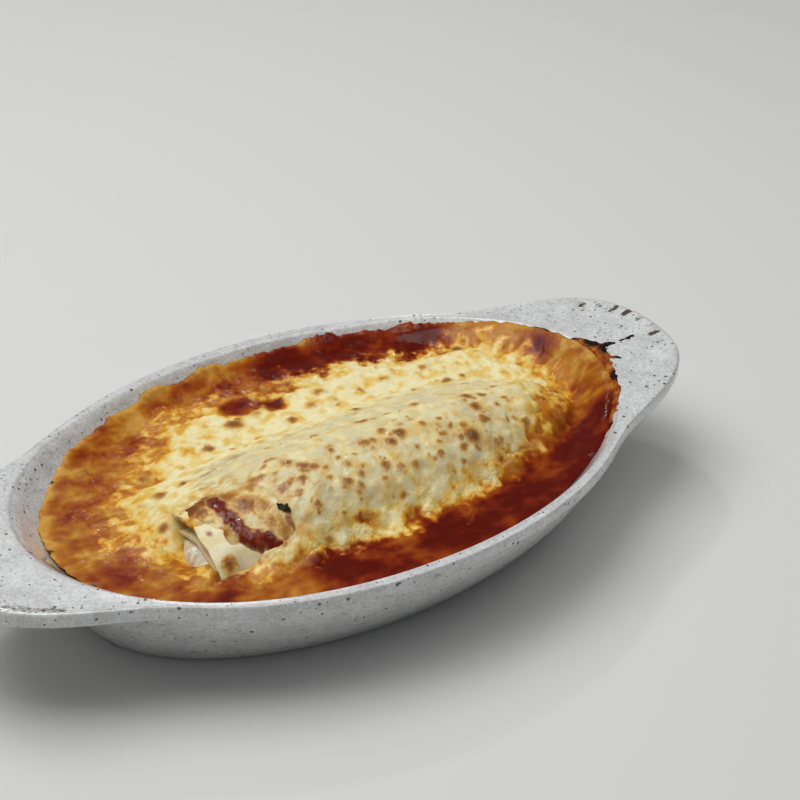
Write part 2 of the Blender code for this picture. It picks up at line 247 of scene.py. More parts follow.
class Tool:
    """Hand tools: adding, selecting and finishing pieces with Blender's operators."""

    @staticmethod
    def clear_selection() -> None:
        """Deselect every object, the loaded solids too."""
        if bpy.context.mode != "OBJECT":
            bpy.ops.object.mode_set(mode="OBJECT")
        bpy.ops.object.select_all(action="DESELECT")

    @staticmethod
    def take(piece: Piece) -> None:
        """Make one piece the only selected and active object.

        Args:
            piece: The piece.
        """
        Tool.clear_selection()
        piece.select_set(True)
        bpy.context.view_layer.objects.active = piece

    @staticmethod
    def added(name: str) -> Piece:
        """Name the piece that an operator has just added.

        Args:
            name: The name for it and its mesh.

        Returns:
            The piece.
        """
        piece = bpy.context.object
        piece.name = piece.data.name = name
        return piece

    @staticmethod
    def grid(name: str, cells: tuple[int, int]) -> Piece:
        """Add a flat square grid that runs from -1 to 1 mm both ways.

        Args:
            name: The name for it and its mesh.
            cells: Cells along and across.

        Returns:
            The grid.
        """
        Tool.clear_selection()
        bpy.ops.mesh.primitive_grid_add(x_subdivisions=cells[0], y_subdivisions=cells[1], size=2.0 * MM)
        return Tool.added(name)

    @staticmethod
    def apply_modifier(piece: Piece, kind: str, **settings: object) -> None:
        """Add one modifier to a piece and apply it at once.

        Args:
            piece: The piece to finish.
            kind: The modifier's type.
            settings: Its properties by name.
        """
        Tool.take(piece)
        modifier = piece.modifiers.new(kind.lower(), kind)
        for name, value in settings.items():
            setattr(modifier, name, value)
        bpy.ops.object.modifier_apply(modifier=modifier.name)

    @staticmethod
    def places(piece: Piece) -> Array:
        """Read the piece's vertices.

        Args:
            piece: The piece to read.

        Returns:
            Places in millimetres, one row for each vertex.
        """
        mesh = piece.data
        flat = np.empty(3 * len(mesh.vertices), dtype=np.float32)
        mesh.vertices.foreach_get("co", flat)
        return flat.reshape(-1, 3).astype(float) / MM

    @staticmethod
    def move(piece: Piece, places: Array) -> None:
        """Set the piece's vertices to rows of millimetres.

        Args:
            piece: The piece to move.
            places: One row for each vertex.
        """
        mesh = piece.data
        mesh.vertices.foreach_set("co", (places * MM).astype(np.float32).ravel())
        mesh.update()

    @staticmethod
    def paint(piece: Piece, name: str, values: Array) -> None:
        """Store one value for each vertex, which the finishes read by name.

        Args:
            piece: The piece to paint.
            name: The attribute's name.
            values: One number for each vertex.
        """
        layer = piece.data.attributes.new(name, "FLOAT", "POINT")
        layer.data.foreach_set("value", np.clip(values, 0.0, 1.0).astype(np.float32))

    @staticmethod
    def dress(piece: Piece, material: bpy.types.Material, smooth_angle: float | None = None) -> None:
        """Give a piece its finish and smooth shading.

        Args:
            piece: The piece to dress.
            material: Its finish.
            smooth_angle: Degrees past which an edge stays crisp, or None for all smooth.
        """
        piece.data.materials.clear()
        piece.data.materials.append(material)
        Tool.take(piece)
        if smooth_angle is None:
            bpy.ops.object.shade_smooth()
        else:
            bpy.ops.object.shade_smooth_by_angle(angle=math.radians(smooth_angle))


class Recipe:
    """A finish while its nodes are being joined up."""

    def __init__(self, name: str) -> None:
        """Start a finish with its surface, its output and places on the piece.

        Args:
            name: The material's name.
        """
        self.material = bpy.data.materials.new(name)
        self.material.use_nodes = True
        self.tree = self.material.node_tree
        self.tree.nodes.clear()
        surface = self.add("BsdfPrincipled")
        self.shader = surface.node
        self.add("OutputMaterial", links={"Surface": surface})
        self.place = {"Vector": self.add("TexCoord", out="Object")}

    def add(self, kind: str, settings: dict | None = None, links: dict | None = None,
            out: int | str = 0) -> bpy.types.NodeSocket | None:
        """Add one node.

        Args:
            kind: The node's type, without the words that every shader node's type starts with.
            settings: Values by input name or number, or by property name; a ramp's
                stops are places with sRGB hex colours.
            links: Sockets to join, by input name or number.
            out: Which of its outputs to give back.

        Returns:
            That output, or None from a node that has none.
        """
        node = self.tree.nodes.new("ShaderNode" + kind)
        for key, value in (settings or {}).items():
            if key == "stops":
                elements = node.color_ramp.elements
                elements.remove(elements[-1])
                elements[0].position, elements[0].color = value[0][0], srgb(value[0][1])
                for place, code in value[1:]:
                    elements.new(place).color = srgb(code)
            elif isinstance(key, int) or key in node.inputs:
                node.inputs[key].default_value = value
            else:
                setattr(node, key, value)
        for key, socket in (links or {}).items():
            self.tree.links.new(socket, node.inputs[key])
        return node.outputs[out] if node.outputs else None

    def done(self, links: dict[str, bpy.types.NodeSocket], **values: object) -> bpy.types.Material:
        """Join the surface up and set the rest of its sockets.

        Args:
            links: Sockets to join, by the name of the surface's input.
            values: Plain values by input name, with underscores for spaces.

        Returns:
            The finished material.
        """
        for name, socket in links.items():
            self.tree.links.new(socket, self.shader.inputs[name])
        for name, value in values.items():
            self.shader.inputs[name.replace("_", " ")].default_value = value
        return self.material


def grain(size: float, detail: float, **more: float) -> dict[str, float]:
    """Settings of a noise whose lumps are so many millimetres broad."""
    return {"Scale": 1.0 / (size * MM), "Detail": detail, **more}


@dataclass(frozen=True)
class StonewareGlaze:
    """Satin-gloss white glaze dipped over iron-bearing stoneware.

    Gives the eye a cool off-white with pin-sharp iron specks, faint grey clouds and
    brown clay showing where the glaze ran thin on edges.

    Attributes:
        white: Glaze where it lies thick.
        grey: Glaze where it is thinner and the clay greys it.
        iron: Speck of iron that came up through the glaze.
        clay: Bare or thinly covered clay on worn edges.
        specks: Kinds of speck: millimetres between them, size as a share of that,
            and how many of the places have one.
        cloud_mm: Size of the clouds in the glaze.
    """

    white: str = "#e3e4e4"
    grey: str = "#b6b6b4"
    iron: str = "#2b2622"
    clay: str = "#4f3f33"
    specks: tuple[Triple, ...] = ((2.6, 0.24, 0.60), (1.3, 0.26, 0.50))
    cloud_mm: float = 7.0

    def make(self) -> bpy.types.Material:
        """Build the glaze's material.

        Returns:
            The glaze's material.
        """
        recipe = Recipe("stoneware_white_glaze")
        cloud = recipe.add("TexNoise", grain(self.cloud_mm, 5.0, Roughness=0.62), recipe.place)
        mottle = recipe.add("TexNoise", grain(1.1, 4.0, Roughness=0.7), recipe.place)
        shade = recipe.add("Mix", {"data_type": "FLOAT", 0: 0.62}, {2: cloud, 3: mottle})
        colour = recipe.add("ValToRGB", {"stops": ((0.38, self.grey), (0.64, self.white))}, {"Fac": shade})
        for spacing, reach, share in self.specks:
            cells = recipe.add("TexVoronoi", {"Scale": 1.0 / (spacing * MM), "Randomness": 1.0}, recipe.place)
            chance = recipe.add("SeparateColor", links={"Color": cells.node.outputs["Color"]})
            chosen = recipe.add("Math", {"operation": "LESS_THAN", 1: share}, {0: chance})
            size = recipe.add("MapRange", {"To Min": 0.3 * reach, "To Max": reach},
                              {"Value": chance.node.outputs["Green"]})
            near = recipe.add("Math", {"operation": "SUBTRACT"}, {0: size, 1: cells})
            crisp = recipe.add("MapRange", {"From Max": 0.05, "To Max": 0.9}, {"Value": near})
            speck = recipe.add("Math", {"operation": "MULTIPLY"}, {0: crisp, 1: chosen})
            colour = recipe.add("Mix", {"data_type": "RGBA", 7: srgb(self.iron)}, {0: speck, 6: colour}, 2)
        worn = recipe.add("Attribute", {"attribute_name": "worn"}, out="Fac")
        fine = recipe.add("TexNoise", grain(0.9, 4.0), recipe.place)
        ragged = recipe.add("Math", {"operation": "MULTIPLY_ADD", 1: 1.1, 2: -0.55}, {0: fine})
        wear = recipe.add("Math", {"operation": "ADD", "use_clamp": True}, {0: worn, 1: ragged})
        thin = recipe.add("MapRange", {"From Min": 0.45, "From Max": 0.8}, {"Value": wear})
        colour = recipe.add("Mix", {"data_type": "RGBA", 7: srgb(self.clay)}, {0: thin, 6: colour}, 2)
        gloss = recipe.add("MapRange", {"From Min": 0.3, "From Max": 0.7, "To Min": 0.34, "To Max": 0.22},
                           {"Value": cloud})
        pits = recipe.add("Bump", {"Strength": 0.25, "Distance": 0.25 * MM}, {"Height": cloud})
        return recipe.done({"Base Color": colour, "Roughness": gloss, "Normal": pits},
                           IOR=1.5, Specular_IOR_Level=0.4, Coat_Weight=1.0, Coat_Roughness=0.05)


@dataclass(frozen=True)
class BakedTop:
    """Tomato sauce and mozzarella baked together under a hot grill.

    Gives the eye a wet deep red where sauce pools, orange where fat and cheese have
    run into it, pale cream where cheese lies thick, toasted brown blisters and a
    nearly black rim where it caught.

    Attributes:
        name: The material's name.
        cheese_stops: Colours from bare sauce to thick cheese.
        crust_stops: Colours of the sauce from wet and red to dry and baked.
        toast_stops: Colours of a toasted blister from its halo to its middle.
        burnt: Charred food.
        veil: Thin greyish cheese over the roll.
        shows_through: Brown of the sauced pasta seen through stretched cheese.
        scatter: How much light passes under the surface.
        gloss: Lowest and highest roughness.
        film: How strongly a film of fat shines on the cheese.
        froth: Least share of fat bubbles that bare sauce has too.
    """

    name: str
    cheese_stops: tuple[tuple[float, str], ...] = (
        (0.00, "#7c2608"), (0.20, "#9c4a0a"), (0.36, "#b96c12"), (0.50, "#cf932c"),
        (0.64, "#dfb654"), (0.80, "#e5cb82"), (1.00, "#ebdfb0"))
    crust_stops: tuple[tuple[float, str], ...] = (
        (0.00, "#560f03"), (0.22, "#6f1e06"), (0.44, "#86370a"), (0.66, "#9a5412"), (0.84, "#ad711f"),
        (1.00, "#c08f3c"))
    toast_stops: tuple[tuple[float, str], ...] = (
        (0.08, "#dcbc6c"), (0.28, "#cc9f4b"), (0.50, "#b07a30"), (0.74, "#8b541d"), (1.00, "#653610"))
    burnt: str = "#1d0c07"
    veil: str = "#d2c69c"
    shows_through: str = "#8d6650"
    scatter: float = 0.15
    gloss: Pair = (0.16, 0.46)
    film: float = 0.8
    froth: float = 0.10

    def make(self) -> bpy.types.Material:
        """Build the baked food's material, from the values painted on its vertices.

        Returns:
            The baked food's material.
        """
        recipe = Recipe(self.name)
        # Real curd and beads of fat are finer than a pixel of the picture, so the fine noise and
        # the bubbles below are drawn coarser, at 0.7 and 0.9 mm.
        curd = recipe.add("TexNoise", grain(3.0, 5.0, Roughness=0.55, Distortion=0.4), recipe.place)
        fine = recipe.add("TexNoise", grain(0.7, 3.0), recipe.place)

        def painted(name: str, *ragged: tuple[bpy.types.NodeSocket, float]) -> bpy.types.NodeSocket:
            """Read a painted value and roughen its edge with noises of no mean effect.

            Args:
                name: The value's name.
                ragged: Noises, each with how far it moves the value.

            Returns:
                The roughened value.
            """
            value = recipe.add("Attribute", {"attribute_name": name}, out="Fac")
            for noise, amount in ragged:
                swing = recipe.add("Math", {"operation": "MULTIPLY_ADD", 1: amount, 2: -0.5 * amount}, {0: noise})
                value = recipe.add("Math", {"operation": "ADD", "use_clamp": True}, {0: value, 1: swing})
            return value

        cover = painted("cover", (curd, 0.26))
        toast = painted("toast", (curd, 0.16), (fine, 0.10))
        wet = painted("wet", (curd, 0.4))
        sauce = recipe.add("ValToRGB", {"stops": self.crust_stops}, {"Fac": painted("crust", (curd, 0.42))})
        cheese = recipe.add("ValToRGB", {"stops": self.cheese_stops}, {"Fac": cover})
        melt = recipe.add("MapRange", {"From Min": 0.06, "From Max": 0.46}, {"Value": cover})
        colour = recipe.add("Mix", {"data_type": "RGBA"}, {0: melt, 6: sauce, 7: cheese}, 2)
        colour = recipe.add("Mix", {"data_type": "RGBA", 7: srgb(self.veil)}, {0: painted("veil"), 6: colour}, 2)
        thin = recipe.add("MapRange", {"From Min": 0.10, "From Max": 0.90, "To Max": 0.75},
                          {"Value": painted("sheer", (fine, 0.25))})
        colour = recipe.add("Mix", {"data_type": "RGBA", 7: srgb(self.shows_through)}, {0: thin, 6: colour}, 2)
        brown = recipe.add("ValToRGB", {"stops": self.toast_stops}, {"Fac": toast})
        browned = recipe.add("MapRange", {"From Min": 0.08, "From Max": 0.46, "To Max": 0.95}, {"Value": toast})
        colour = recipe.add("Mix", {"data_type": "RGBA"}, {0: browned, 6: colour, 7: brown}, 2)
        black = recipe.add("MapRange", {"From Min": 0.40, "From Max": 0.70}, {"Value": painted("char", (fine, 0.35))})
        colour = recipe.add("Mix", {"data_type": "RGBA", 7: srgb(self.burnt)}, {0: black, 6: colour}, 2)
        gloss = recipe.add("MapRange", {"To Min": self.gloss[1], "To Max": self.gloss[0]}, {"Value": wet})
        frothy = recipe.add("Math", {"operation": "MAXIMUM", 1: self.froth}, {0: melt})
        greasy = recipe.add("Math", {"operation": "MULTIPLY"}, {0: frothy, 1: wet})
        bubbles = recipe.add("TexVoronoi", {"Scale": 1.0 / (0.9 * MM)}, recipe.place)
        oily = recipe.add("Math", {"operation": "MULTIPLY"}, {0: bubbles, 1: greasy})
        bubbled = recipe.add("Bump", {"Strength": 0.6, "Distance": 0.30 * MM}, {"Height": oily})
        height = recipe.add("Mix", {"data_type": "FLOAT", 0: 0.35}, {2: curd, 3: fine})
        uneven = recipe.add("MapRange", {"To Min": 0.10, "To Max": 0.7}, {"Value": melt})
        bump = recipe.add("Bump", {"Distance": 0.40 * MM}, {"Strength": uneven, "Height": height, "Normal": bubbled})
        film = recipe.add("Math", {"operation": "MULTIPLY", 1: self.film}, {0: greasy})
        return recipe.done({"Base Color": colour, "Roughness": gloss, "Normal": bump, "Coat Normal": bump,
                            "Coat Weight": film}, IOR=1.42, Specular_IOR_Level=0.12, Coat_Roughness=0.06,
                           Subsurface_Weight=self.scatter, Subsurface_Scale=1.2 * MM,
                           Subsurface_Radius=(1.0, 0.55, 0.25))


@dataclass(frozen=True)
class CookedPasta:
    """Boiled egg-and-durum pasta sheet.

    Gives the eye a smooth, faintly translucent cream with tiny air bubbles.

    Attributes:
        cream: The sheet's own colour.
        shade: Where the sheet is thinner or has drawn in oil.
        stain: Sauce that soaked into it.
    """

    cream: str = "#f0e5c0"
    shade: str = "#dfcd93"
    stain: str = "#8a4a18"

    def make(self) -> bpy.types.Material:
        """Build the pasta's material.

        Returns:
            The pasta's material.
        """
        recipe = Recipe("boiled_durum_pasta")
        broad = recipe.add("TexNoise", grain(4.0, 4.0), recipe.place)
        base = recipe.add("ValToRGB", {"stops": ((0.35, self.shade), (0.65, self.cream))}, {"Fac": broad})
        stain = recipe.add("Attribute", {"attribute_name": "stain"}, out="Fac")
        colour = recipe.add("Mix", {"data_type": "RGBA", 7: srgb(self.stain)}, {0: stain, 6: base}, 2)
        bubbles = recipe.add("TexVoronoi", {"Scale": 1.0 / (1.1 * MM)}, recipe.place)
        bump = recipe.add("Bump", {"Strength": 0.12, "Distance": 0.2 * MM}, {"Height": bubbles})
        return recipe.done({"Base Color": colour, "Normal": bump}, Roughness=0.34, IOR=1.45, Coat_Weight=0.2,
                           Coat_Roughness=0.2, Subsurface_Weight=0.35, Subsurface_Scale=1.5 * MM,
                           Subsurface_Radius=(1.0, 0.7, 0.35))


@dataclass(frozen=True)
class Ricotta:
    """Baked ricotta filling.

    Gives the eye a moist white curd with soft grains, with painted shade in their hollows and a painted highlight on
    their tops.

    Attributes:
        white: The curd's own white, used on the grains' tops as a painted highlight.
        cream: Darker cream, used in the grains' hollows as painted shade.
    """

    white: str = "#f3eedd"
    cream: str = "#dccba0"

    def make(self) -> bpy.types.Material:
        """Build the ricotta's material.

        Returns:
            The ricotta's material.
        """
        recipe = Recipe("baked_ricotta_curd")
        curd = recipe.add("TexNoise", grain(1.6, 5.0), recipe.place)
        # The colour follows the same noise as the bump: painted shade in the hollows and a painted highlight on the
        # tops.
        base = recipe.add("ValToRGB", {"stops": ((0.38, self.cream), (0.60, self.white))}, {"Fac": curd})
        bump = recipe.add("Bump", {"Strength": 0.5, "Distance": 0.4 * MM}, {"Height": curd})
        return recipe.done({"Base Color": base, "Normal": bump}, Roughness=0.28, IOR=1.4, Coat_Weight=0.8,
                           Coat_Roughness=0.08, Subsurface_Weight=0.3, Subsurface_Scale=1.5 * MM)


@dataclass(frozen=True)
class HerbLeaf:
    """Baked fleck of parsley.

    Gives the eye a dark, slightly oily green with a paler vein.

    Attributes:
        dark: The leaf between its veins.
        light: The veins and the curled edge.
    """

    dark: str = "#1f2109"
    light: str = "#474a17"

    def make(self) -> bpy.types.Material:
        """Build the leaf's material.

        Returns:
            The leaf's material.
        """
        recipe = Recipe("baked_parsley_leaf")
        veins = recipe.add("TexNoise", grain(0.8, 3.0), recipe.place)
        base = recipe.add("ValToRGB", {"stops": ((0.45, self.dark), (0.75, self.light))}, {"Fac": veins})
        return recipe.done({"Base Color": base}, Roughness=0.6, IOR=1.45, Specular_IOR_Level=0.15)


@dataclass(frozen=True)
class StudioFloor:
    """Plain matt paper sweep.

    Gives the eye an even pale grey with no pattern of its own.

    Attributes:
        pale: The floor's colour.
    """

    pale: str = "#d4d4d2"

    def make(self) -> bpy.types.Material:
        """Build the floor's material.

        Returns:
            The floor's material.
        """
        recipe = Recipe("matt_paper_sweep")
        tooth = recipe.add("TexNoise", grain(1.5, 2.0), recipe.place)
        bump = recipe.add("Bump", {"Strength": 0.03, "Distance": 0.1 * MM}, {"Height": tooth})
        return recipe.done({"Normal": bump}, Base_Color=srgb(self.pale), Roughness=0.75)


@dataclass(frozen=True)
class Bowl:
    """The dish's oval form, as numbers that the food needs too.

    Attributes:
        rim: Half the long way and half the short way over the rim.
        mouth: The same at the bowl's inner edge.
        floor: The same at the bowl's flat floor.
        foot: The same round the foot.
        rim_height: Top of the rim at the middle of the long sides.
        floor_height: Top of the bowl's floor.
        swell: How much the short sides' walls bulge.
        band: Height of the band under the rim.
        ledge: How far the wall steps in under the band.
        edge: Rounding of the rim's edges.
        lug_reach: How far the handles stand out past the rim.
        lug_angle: Half the angle that a handle takes up, in degrees.
        lug_shoulder: How fast a handle's shoulders fall.
        rise: How much the handles' tips stand higher than the rim.
        rise_from: Where along the dish the rise starts.
        rise_to: Where it is reached.
    """

    rim: Pair = (96.0, 66.6)
    mouth: Pair = (93.8, 62.9)
    floor: Pair = (68.0, 36.0)
    foot: Pair = (77.9, 45.1)
    rim_height: float = 32.1
    floor_height: float = 6.0
    swell: float = 1.4
    band: float = 4.0
    ledge: float = 2.6
    edge: float = 0.9
    lug_reach: float = 24.0
    lug_angle: float = 21.1
    lug_shoulder: float = 3.4
    rise: float = 5.1
    rise_from: float = 40.0
    rise_to: float = 120.0

    def lift(self, x: Array, z: Array) -> Array:
        """Height of a point once both ends sweep up to the handles.

        Args:
            x: Place along the dish.
            z: Height before the sweep.

        Returns:
            Height after it.
        """
        out = np.maximum(0.0, (np.abs(x) - self.rise_from) / (self.rise_to - self.rise_from))
        return z + self.rise * out * out * np.maximum(z / self.rim_height, 0.0) ** 1.5

    def inside(self, z: Array) -> tuple[Array, Array]:
        """Half the long way and half the short way inside the bowl at a height.

        Args:
            z: Heights before the ends sweep up.

        Returns:
            Both halves in millimetres.
        """
        share = (z - self.floor_height) / (self.rim_height - self.floor_height)
        long_half = self.floor[0] + (self.mouth[0] - self.floor[0]) * share
        bulge = 1.0 - np.maximum(1.0 - share, 0.0) ** self.swell
        return long_half, self.floor[1] + (self.mouth[1] - self.floor[1]) * bulge

    def wall(self, turn: Array, z: Array, clear: float = 0.0) -> tuple[Array, Array, Array]:
        """Points on the bowl's inner wall.

        Args:
            turn: Angle round the oval in radians.
            z: Height before the ends sweep up.
            clear: How far inside the wall the points keep.

        Returns:
            Places along, across and up.
        """
        long_half, short_half = self.inside(z)
        x = (long_half - clear) * np.cos(turn)
        y = (short_half - clear) * np.sin(turn)
        return x, y, self.lift(x, z)

    def lug_push(self, x: Array, y: Array) -> Array:
        """Share by which a rim point moves out where a handle is.

        Args:
            x: Places along.
            y: Places across.

        Returns:
            Shares of the point's distance from the middle.
        """
        off_axis = np.degrees(np.arctan2(np.abs(y), np.abs(x)))
        reach = self.lug_reach * np.exp(-((off_axis / self.lug_angle) ** self.lug_shoulder))
        return reach / np.hypot(x, y)


@dataclass(frozen=True)
class Roll:
    """The rolled sheet's outside, as numbers that everything on it needs too.

    Attributes:
        start: Place of the open mouth.
        end: Place of the far end.
        middle_y: Sideways place of the axis at the mouth.
        turn: How much the axis swings sideways along the roll.
        bottom: Height of the underside.
        wide: Half the width at the mouth.
        tall: Half the height at the mouth.
        swell: Shares by which width and height grow behind the mouth.
        swell_length: How far back that growth is complete.
        taper: Share by which it falls again at the far end.
        taper_length: How long that fall is.
    """

    start: float = -53.5
    end: float = 58.0
    middle_y: float = -15.0
    turn: float = 0.025
    bottom: float = 8.0
    wide: float = 18.3
    tall: float = 12.7
    swell: Pair = (0.08, 0.17)
    swell_length: float = 35.0
    taper: float = 0.16
    taper_length: float = 30.0

    def halves(self, x: Array) -> tuple[Array, Array]:
        """Half width and half height at places along the roll.

        Args:
            x: Places along.

        Returns:
            Half the width and half the height.
        """
        grown = smooth(self.start, self.start + self.swell_length, x)
        fallen = smooth(self.end - self.taper_length, self.end, x)
        wide = self.wide * (1.0 + self.swell[0] * grown - self.taper * fallen)
        tall = self.tall * (1.0 + self.swell[1] * grown - self.taper * fallen)
        return wide, tall

    def middle(self, x: Array) -> Array:
        """Sideways place of the axis."""
        return self.middle_y + self.turn * (x - self.start)

    def top(self, x: Array, y: Array, margin: float = 0.0, end_round: float = 9.0) -> Array:
        """Height of the roll's upper side.

        Args:
            x: Places along.
            y: Places across.
            margin: How much the roll is grown all round.
            end_round: Length over which its far end rounds off.

        Returns:
            Heights, zero outside the roll.
        """
        wide, tall = self.halves(x)
        beyond = np.maximum(0.0, np.maximum((x - self.end) / end_round, (self.start - x) / 1.5))
        inside = 1.0 - ((y - self.middle(x)) / (wide + margin)) ** 2 - beyond ** 2
        height = self.bottom + tall + (tall + margin) * np.sqrt(np.maximum(inside, 0.0))
        return np.where(inside > 0.0, height, 0.0)

    def unrolled(self, x: Array, y: Array) -> Array:
        """Place across the dish, measured over the roll's curve and not straight across.

        Args:
            x: Places along.
            y: Places across.

        Returns:
            Places across in millimetres, further out than y beyond the roll's sides.
        """
        steps = np.linspace(0.0, 0.97, 60)
        steep = 0.78 * steps / np.sqrt(1.0 - steps ** 2)
        longer = np.sqrt(1.0 + steep ** 2)
        length = np.concatenate(([0.0], np.cumsum(0.5 * (longer[1:] + longer[:-1]) * np.diff(steps))))
        wide = self.halves(x)[0] + 1.5
        side = y - self.middle(x)
        reach = np.minimum(np.abs(side) / wide, steps[-1])
        over = (np.interp(reach, steps, length) - reach) * wide * np.sign(side)
        return y + over * smooth(self.end + 6.0, self.end - 18.0, x) * smooth(self.start - 6.0, self.start + 4.0, x)


@dataclass
class FoodMap:
    """Where sauce, cheese, crust and toasted spots lie, seen from above.

    Attributes:
        bowl: The dish's form.
        roll: The roll's form.
        level: Height of the sauce in the middle of the dish.
        climb: Slope of the sauce along and across.
        food_line: Height of the food's edge on the wall, by angle in degrees.
        scraps: Scraps baked on to the wall: angle, extra height, half angle.
        cheese_middle: Place from which the cheese's reach is counted.
        cheese_reach: The cheese's reach by angle in degrees.
        skirt: How far the cheese slopes out in front of the roll and behind it.
        mounds: Soft humps of the sauce: place, radius, height.
        dark_middle: Place from which the dark sauce's reach on the roll is counted.
        dark_reach: The dark sauce's reach by angle in degrees.
        sheers: Places where the cheese is so thin that brown shows through.
        blisters: Toasted blisters: place, radius, strength.
        windows: Holes in the cheese through which sauce shows.
        pools: Wet red pools of sauce.
        crusts: Places where the sauce has baked to a golden-brown crust.
        caught: Places on the edge that caught: angle, half angle, strength.
        spilled: Middle angle of the edge that boiled over, and half angles between
            which its burnt line comes back.
        thin_cheese: Places before the mouth with little cheese.
        dip: Dip of the sauce before the mouth: place, radius, depth.
        bare_end: Course along the roll's bare end.
        before_mouth: Course before the mouth, where no cheese hangs down.
    """

    bowl: Bowl
    roll: Roll
    level: float = 25.5
    climb: Pair = (0.020, 0.025)
    food_line: dict[float, float] = field(default_factory=lambda: {
        0: 32.4, 12: 32.4, 25: 31.9, 40: 31.0, 55: 29.8, 90: 28.8, 125: 27.8, 155: 24.8, 180: 24.0, 215: 24.0,
        270: 24.6, 305: 26.4, 325: 29.4, 340: 31.8})
    scraps: tuple[Triple, ...] = (
        (50.0, 0.9, 3.0), (69.0, 1.3, 3.4), (94.0, 1.3, 3.0), (107.0, 1.7, 3.4), (118.0, 0.7, 2.4))
    cheese_middle: Pair = (10.0, 8.0)
    cheese_reach: dict[float, float] = field(default_factory=lambda: {
        0: 71.0, 14: 68.0, 25: 57.0, 35: 47.0, 50: 42.0, 70: 35.0, 90: 34.0, 105: 36.0, 120: 42.0,
        131: 48.0, 147: 53.0, 159: 57.0, 169: 61.0, 177: 70.0, 185: 75.0, 195: 75.0, 205: 75.0,
        211: 75.0, 220: 67.0, 235: 54.0, 250: 48.0, 270: 45.5, 290: 46.5, 305: 49.0, 320: 55.0,
        335: 60.0, 345: 64.0, 355: 70.0})
    skirt: Pair = (5.2, 14.0)
    mounds: tuple[Spot, ...] = (
        (-61.0, -5.0, 7.0, 1.6), (-60.0, -22.0, 6.0, 0.8), (-56.0, -30.0, 5.0, 0.7), (-13.0, -40.5, 2.2, 0.7))
    dark_middle: Pair = (-41.5, -19.5)
    dark_reach: dict[float, float] = field(default_factory=lambda: {
        0: 13.0, 27: 13.5, 73: 15.5, 108: 15.5, 128: 15.5, 143: 14.6, 154: 10.5, 170: 6.5, 200: 5.4, 225: 7.6,
        245: 7.8, 270: 10.8, 290: 15.0, 304: 18.0, 318: 18.0, 342: 14.5})
    sheers: tuple[Spot, ...] = (
        (-36.0, 5.0, 6.0, 0.9), (-24.0, 8.0, 5.0, 0.8), (-10.0, 9.0, 5.0, 0.6), (3.0, 9.5, 5.0, 0.65),
        (14.0, 10.0, 4.0, 0.5), (27.0, 8.0, 4.0, 0.6), (42.0, -17.0, 4.0, 0.7), (38.0, -12.0, 4.0, 0.5),
        (0.0, -16.0, 3.6, 0.7), (13.0, -12.0, 4.0, 0.4), (-27.0, -29.0, 4.5, 0.5), (-17.0, -27.0, 4.0, 0.4),
        (48.0, 6.0, 4.0, 0.4), (-41.0, -1.0, 3.6, 0.8), (-34.0, -3.0, 3.0, 0.6))
    blisters: tuple[Spot, ...] = (
        (-51.0, 5.5, 2.4, 0.8), (-44.0, 5.0, 2.0, 1.0), (-56.5, -5.5, 2.0, 0.8), (-27.0, 22.5, 2.3, 0.9),
        (-14.5, 29.5, 3.2, 1.0), (1.0, 22.0, 2.3, 0.8), (16.0, 31.5, 2.8, 0.62), (10.0, 26.0, 2.3, 0.6),
        (17.0, 22.0, 1.5, 0.5), (27.0, 25.0, 1.8, 0.55), (36.0, 26.0, 1.8, 0.6), (50.0, 25.0, 2.4, 0.6),
        (16.5, 11.5, 2.1, 0.9), (27.0, 11.0, 1.1, 0.9), (37.0, 11.0, 1.7, 0.6), (50.5, 12.5, 2.3, 0.9),
        (57.0, 13.5, 1.6, 0.7), (-22.0, 17.5, 1.8, 0.55), (-13.0, 18.5, 1.5, 0.5), (-38.0, 18.0, 1.4, 0.45),
        (-18.0, 4.5, 1.6, 0.7), (9.0, -3.5, 2.6, 0.85), (-33.0, -13.0, 2.6, 0.95), (-29.5, -12.0, 2.0, 0.8),
        (-21.0, -12.5, 2.2, 0.85), (-18.0, -16.0, 2.4, 0.85), (-27.0, -20.0, 2.1, 0.8), (-21.0, -20.5, 2.1, 0.8),
        (-13.0, -19.5, 1.3, 0.8), (-8.0, -14.0, 1.3, 0.75), (-8.0, -18.0, 1.2, 0.7), (-33.0, -19.0, 2.0, 0.7),
        (-24.0, -23.5, 1.5, 0.75), (-14.0, -23.0, 1.2, 0.7), (-10.0, -26.0, 2.1, 0.9), (-5.0, -25.0, 1.4, 0.75),
        (-21.0, -28.5, 1.6, 0.8), (3.0, -25.0, 1.9, 0.85), (1.0, -16.0, 1.3, 1.0), (9.0, -19.0, 2.1, 1.0),
        (13.0, -17.0, 2.4, 1.0), (7.0, -26.5, 1.7, 0.7), (15.0, -23.0, 1.0, 0.7), (22.0, -24.0, 1.2, 0.75),
        (20.0, -27.0, 1.5, 0.8), (33.0, -25.0, 3.2, 1.0), (28.0, -27.5, 1.5, 0.8), (41.0, -15.0, 2.4, 0.9),
        (42.0, -9.0, 2.6, 1.0), (40.0, -21.0, 2.3, 0.9), (48.0, -16.0, 1.2, 0.8), (26.0, -5.0, 2.3, 0.65),
        (17.0, -5.0, 1.3, 0.9), (51.0, 4.5, 1.5, 0.9), (75.0, -10.0, 3.6, 0.7),
        (-60.0, 26.0, 3.4, 0.6), (-49.0, 21.5, 2.8, 0.8), (-47.0, 32.0, 2.4, 0.6), (66.0, 29.0, 2.6, 0.9),
        (-12.0, 32.0, 2.0, 0.7), (-6.0, 31.5, 2.6, 0.5))
    windows: tuple[Spot, ...] = (
        (-8.0, 39.5, 6.2, 1.0), (1.5, 34.5, 4.6, 0.95), (-3.0, 37.0, 3.6, 0.8), (9.0, 39.5, 3.4, 0.4))
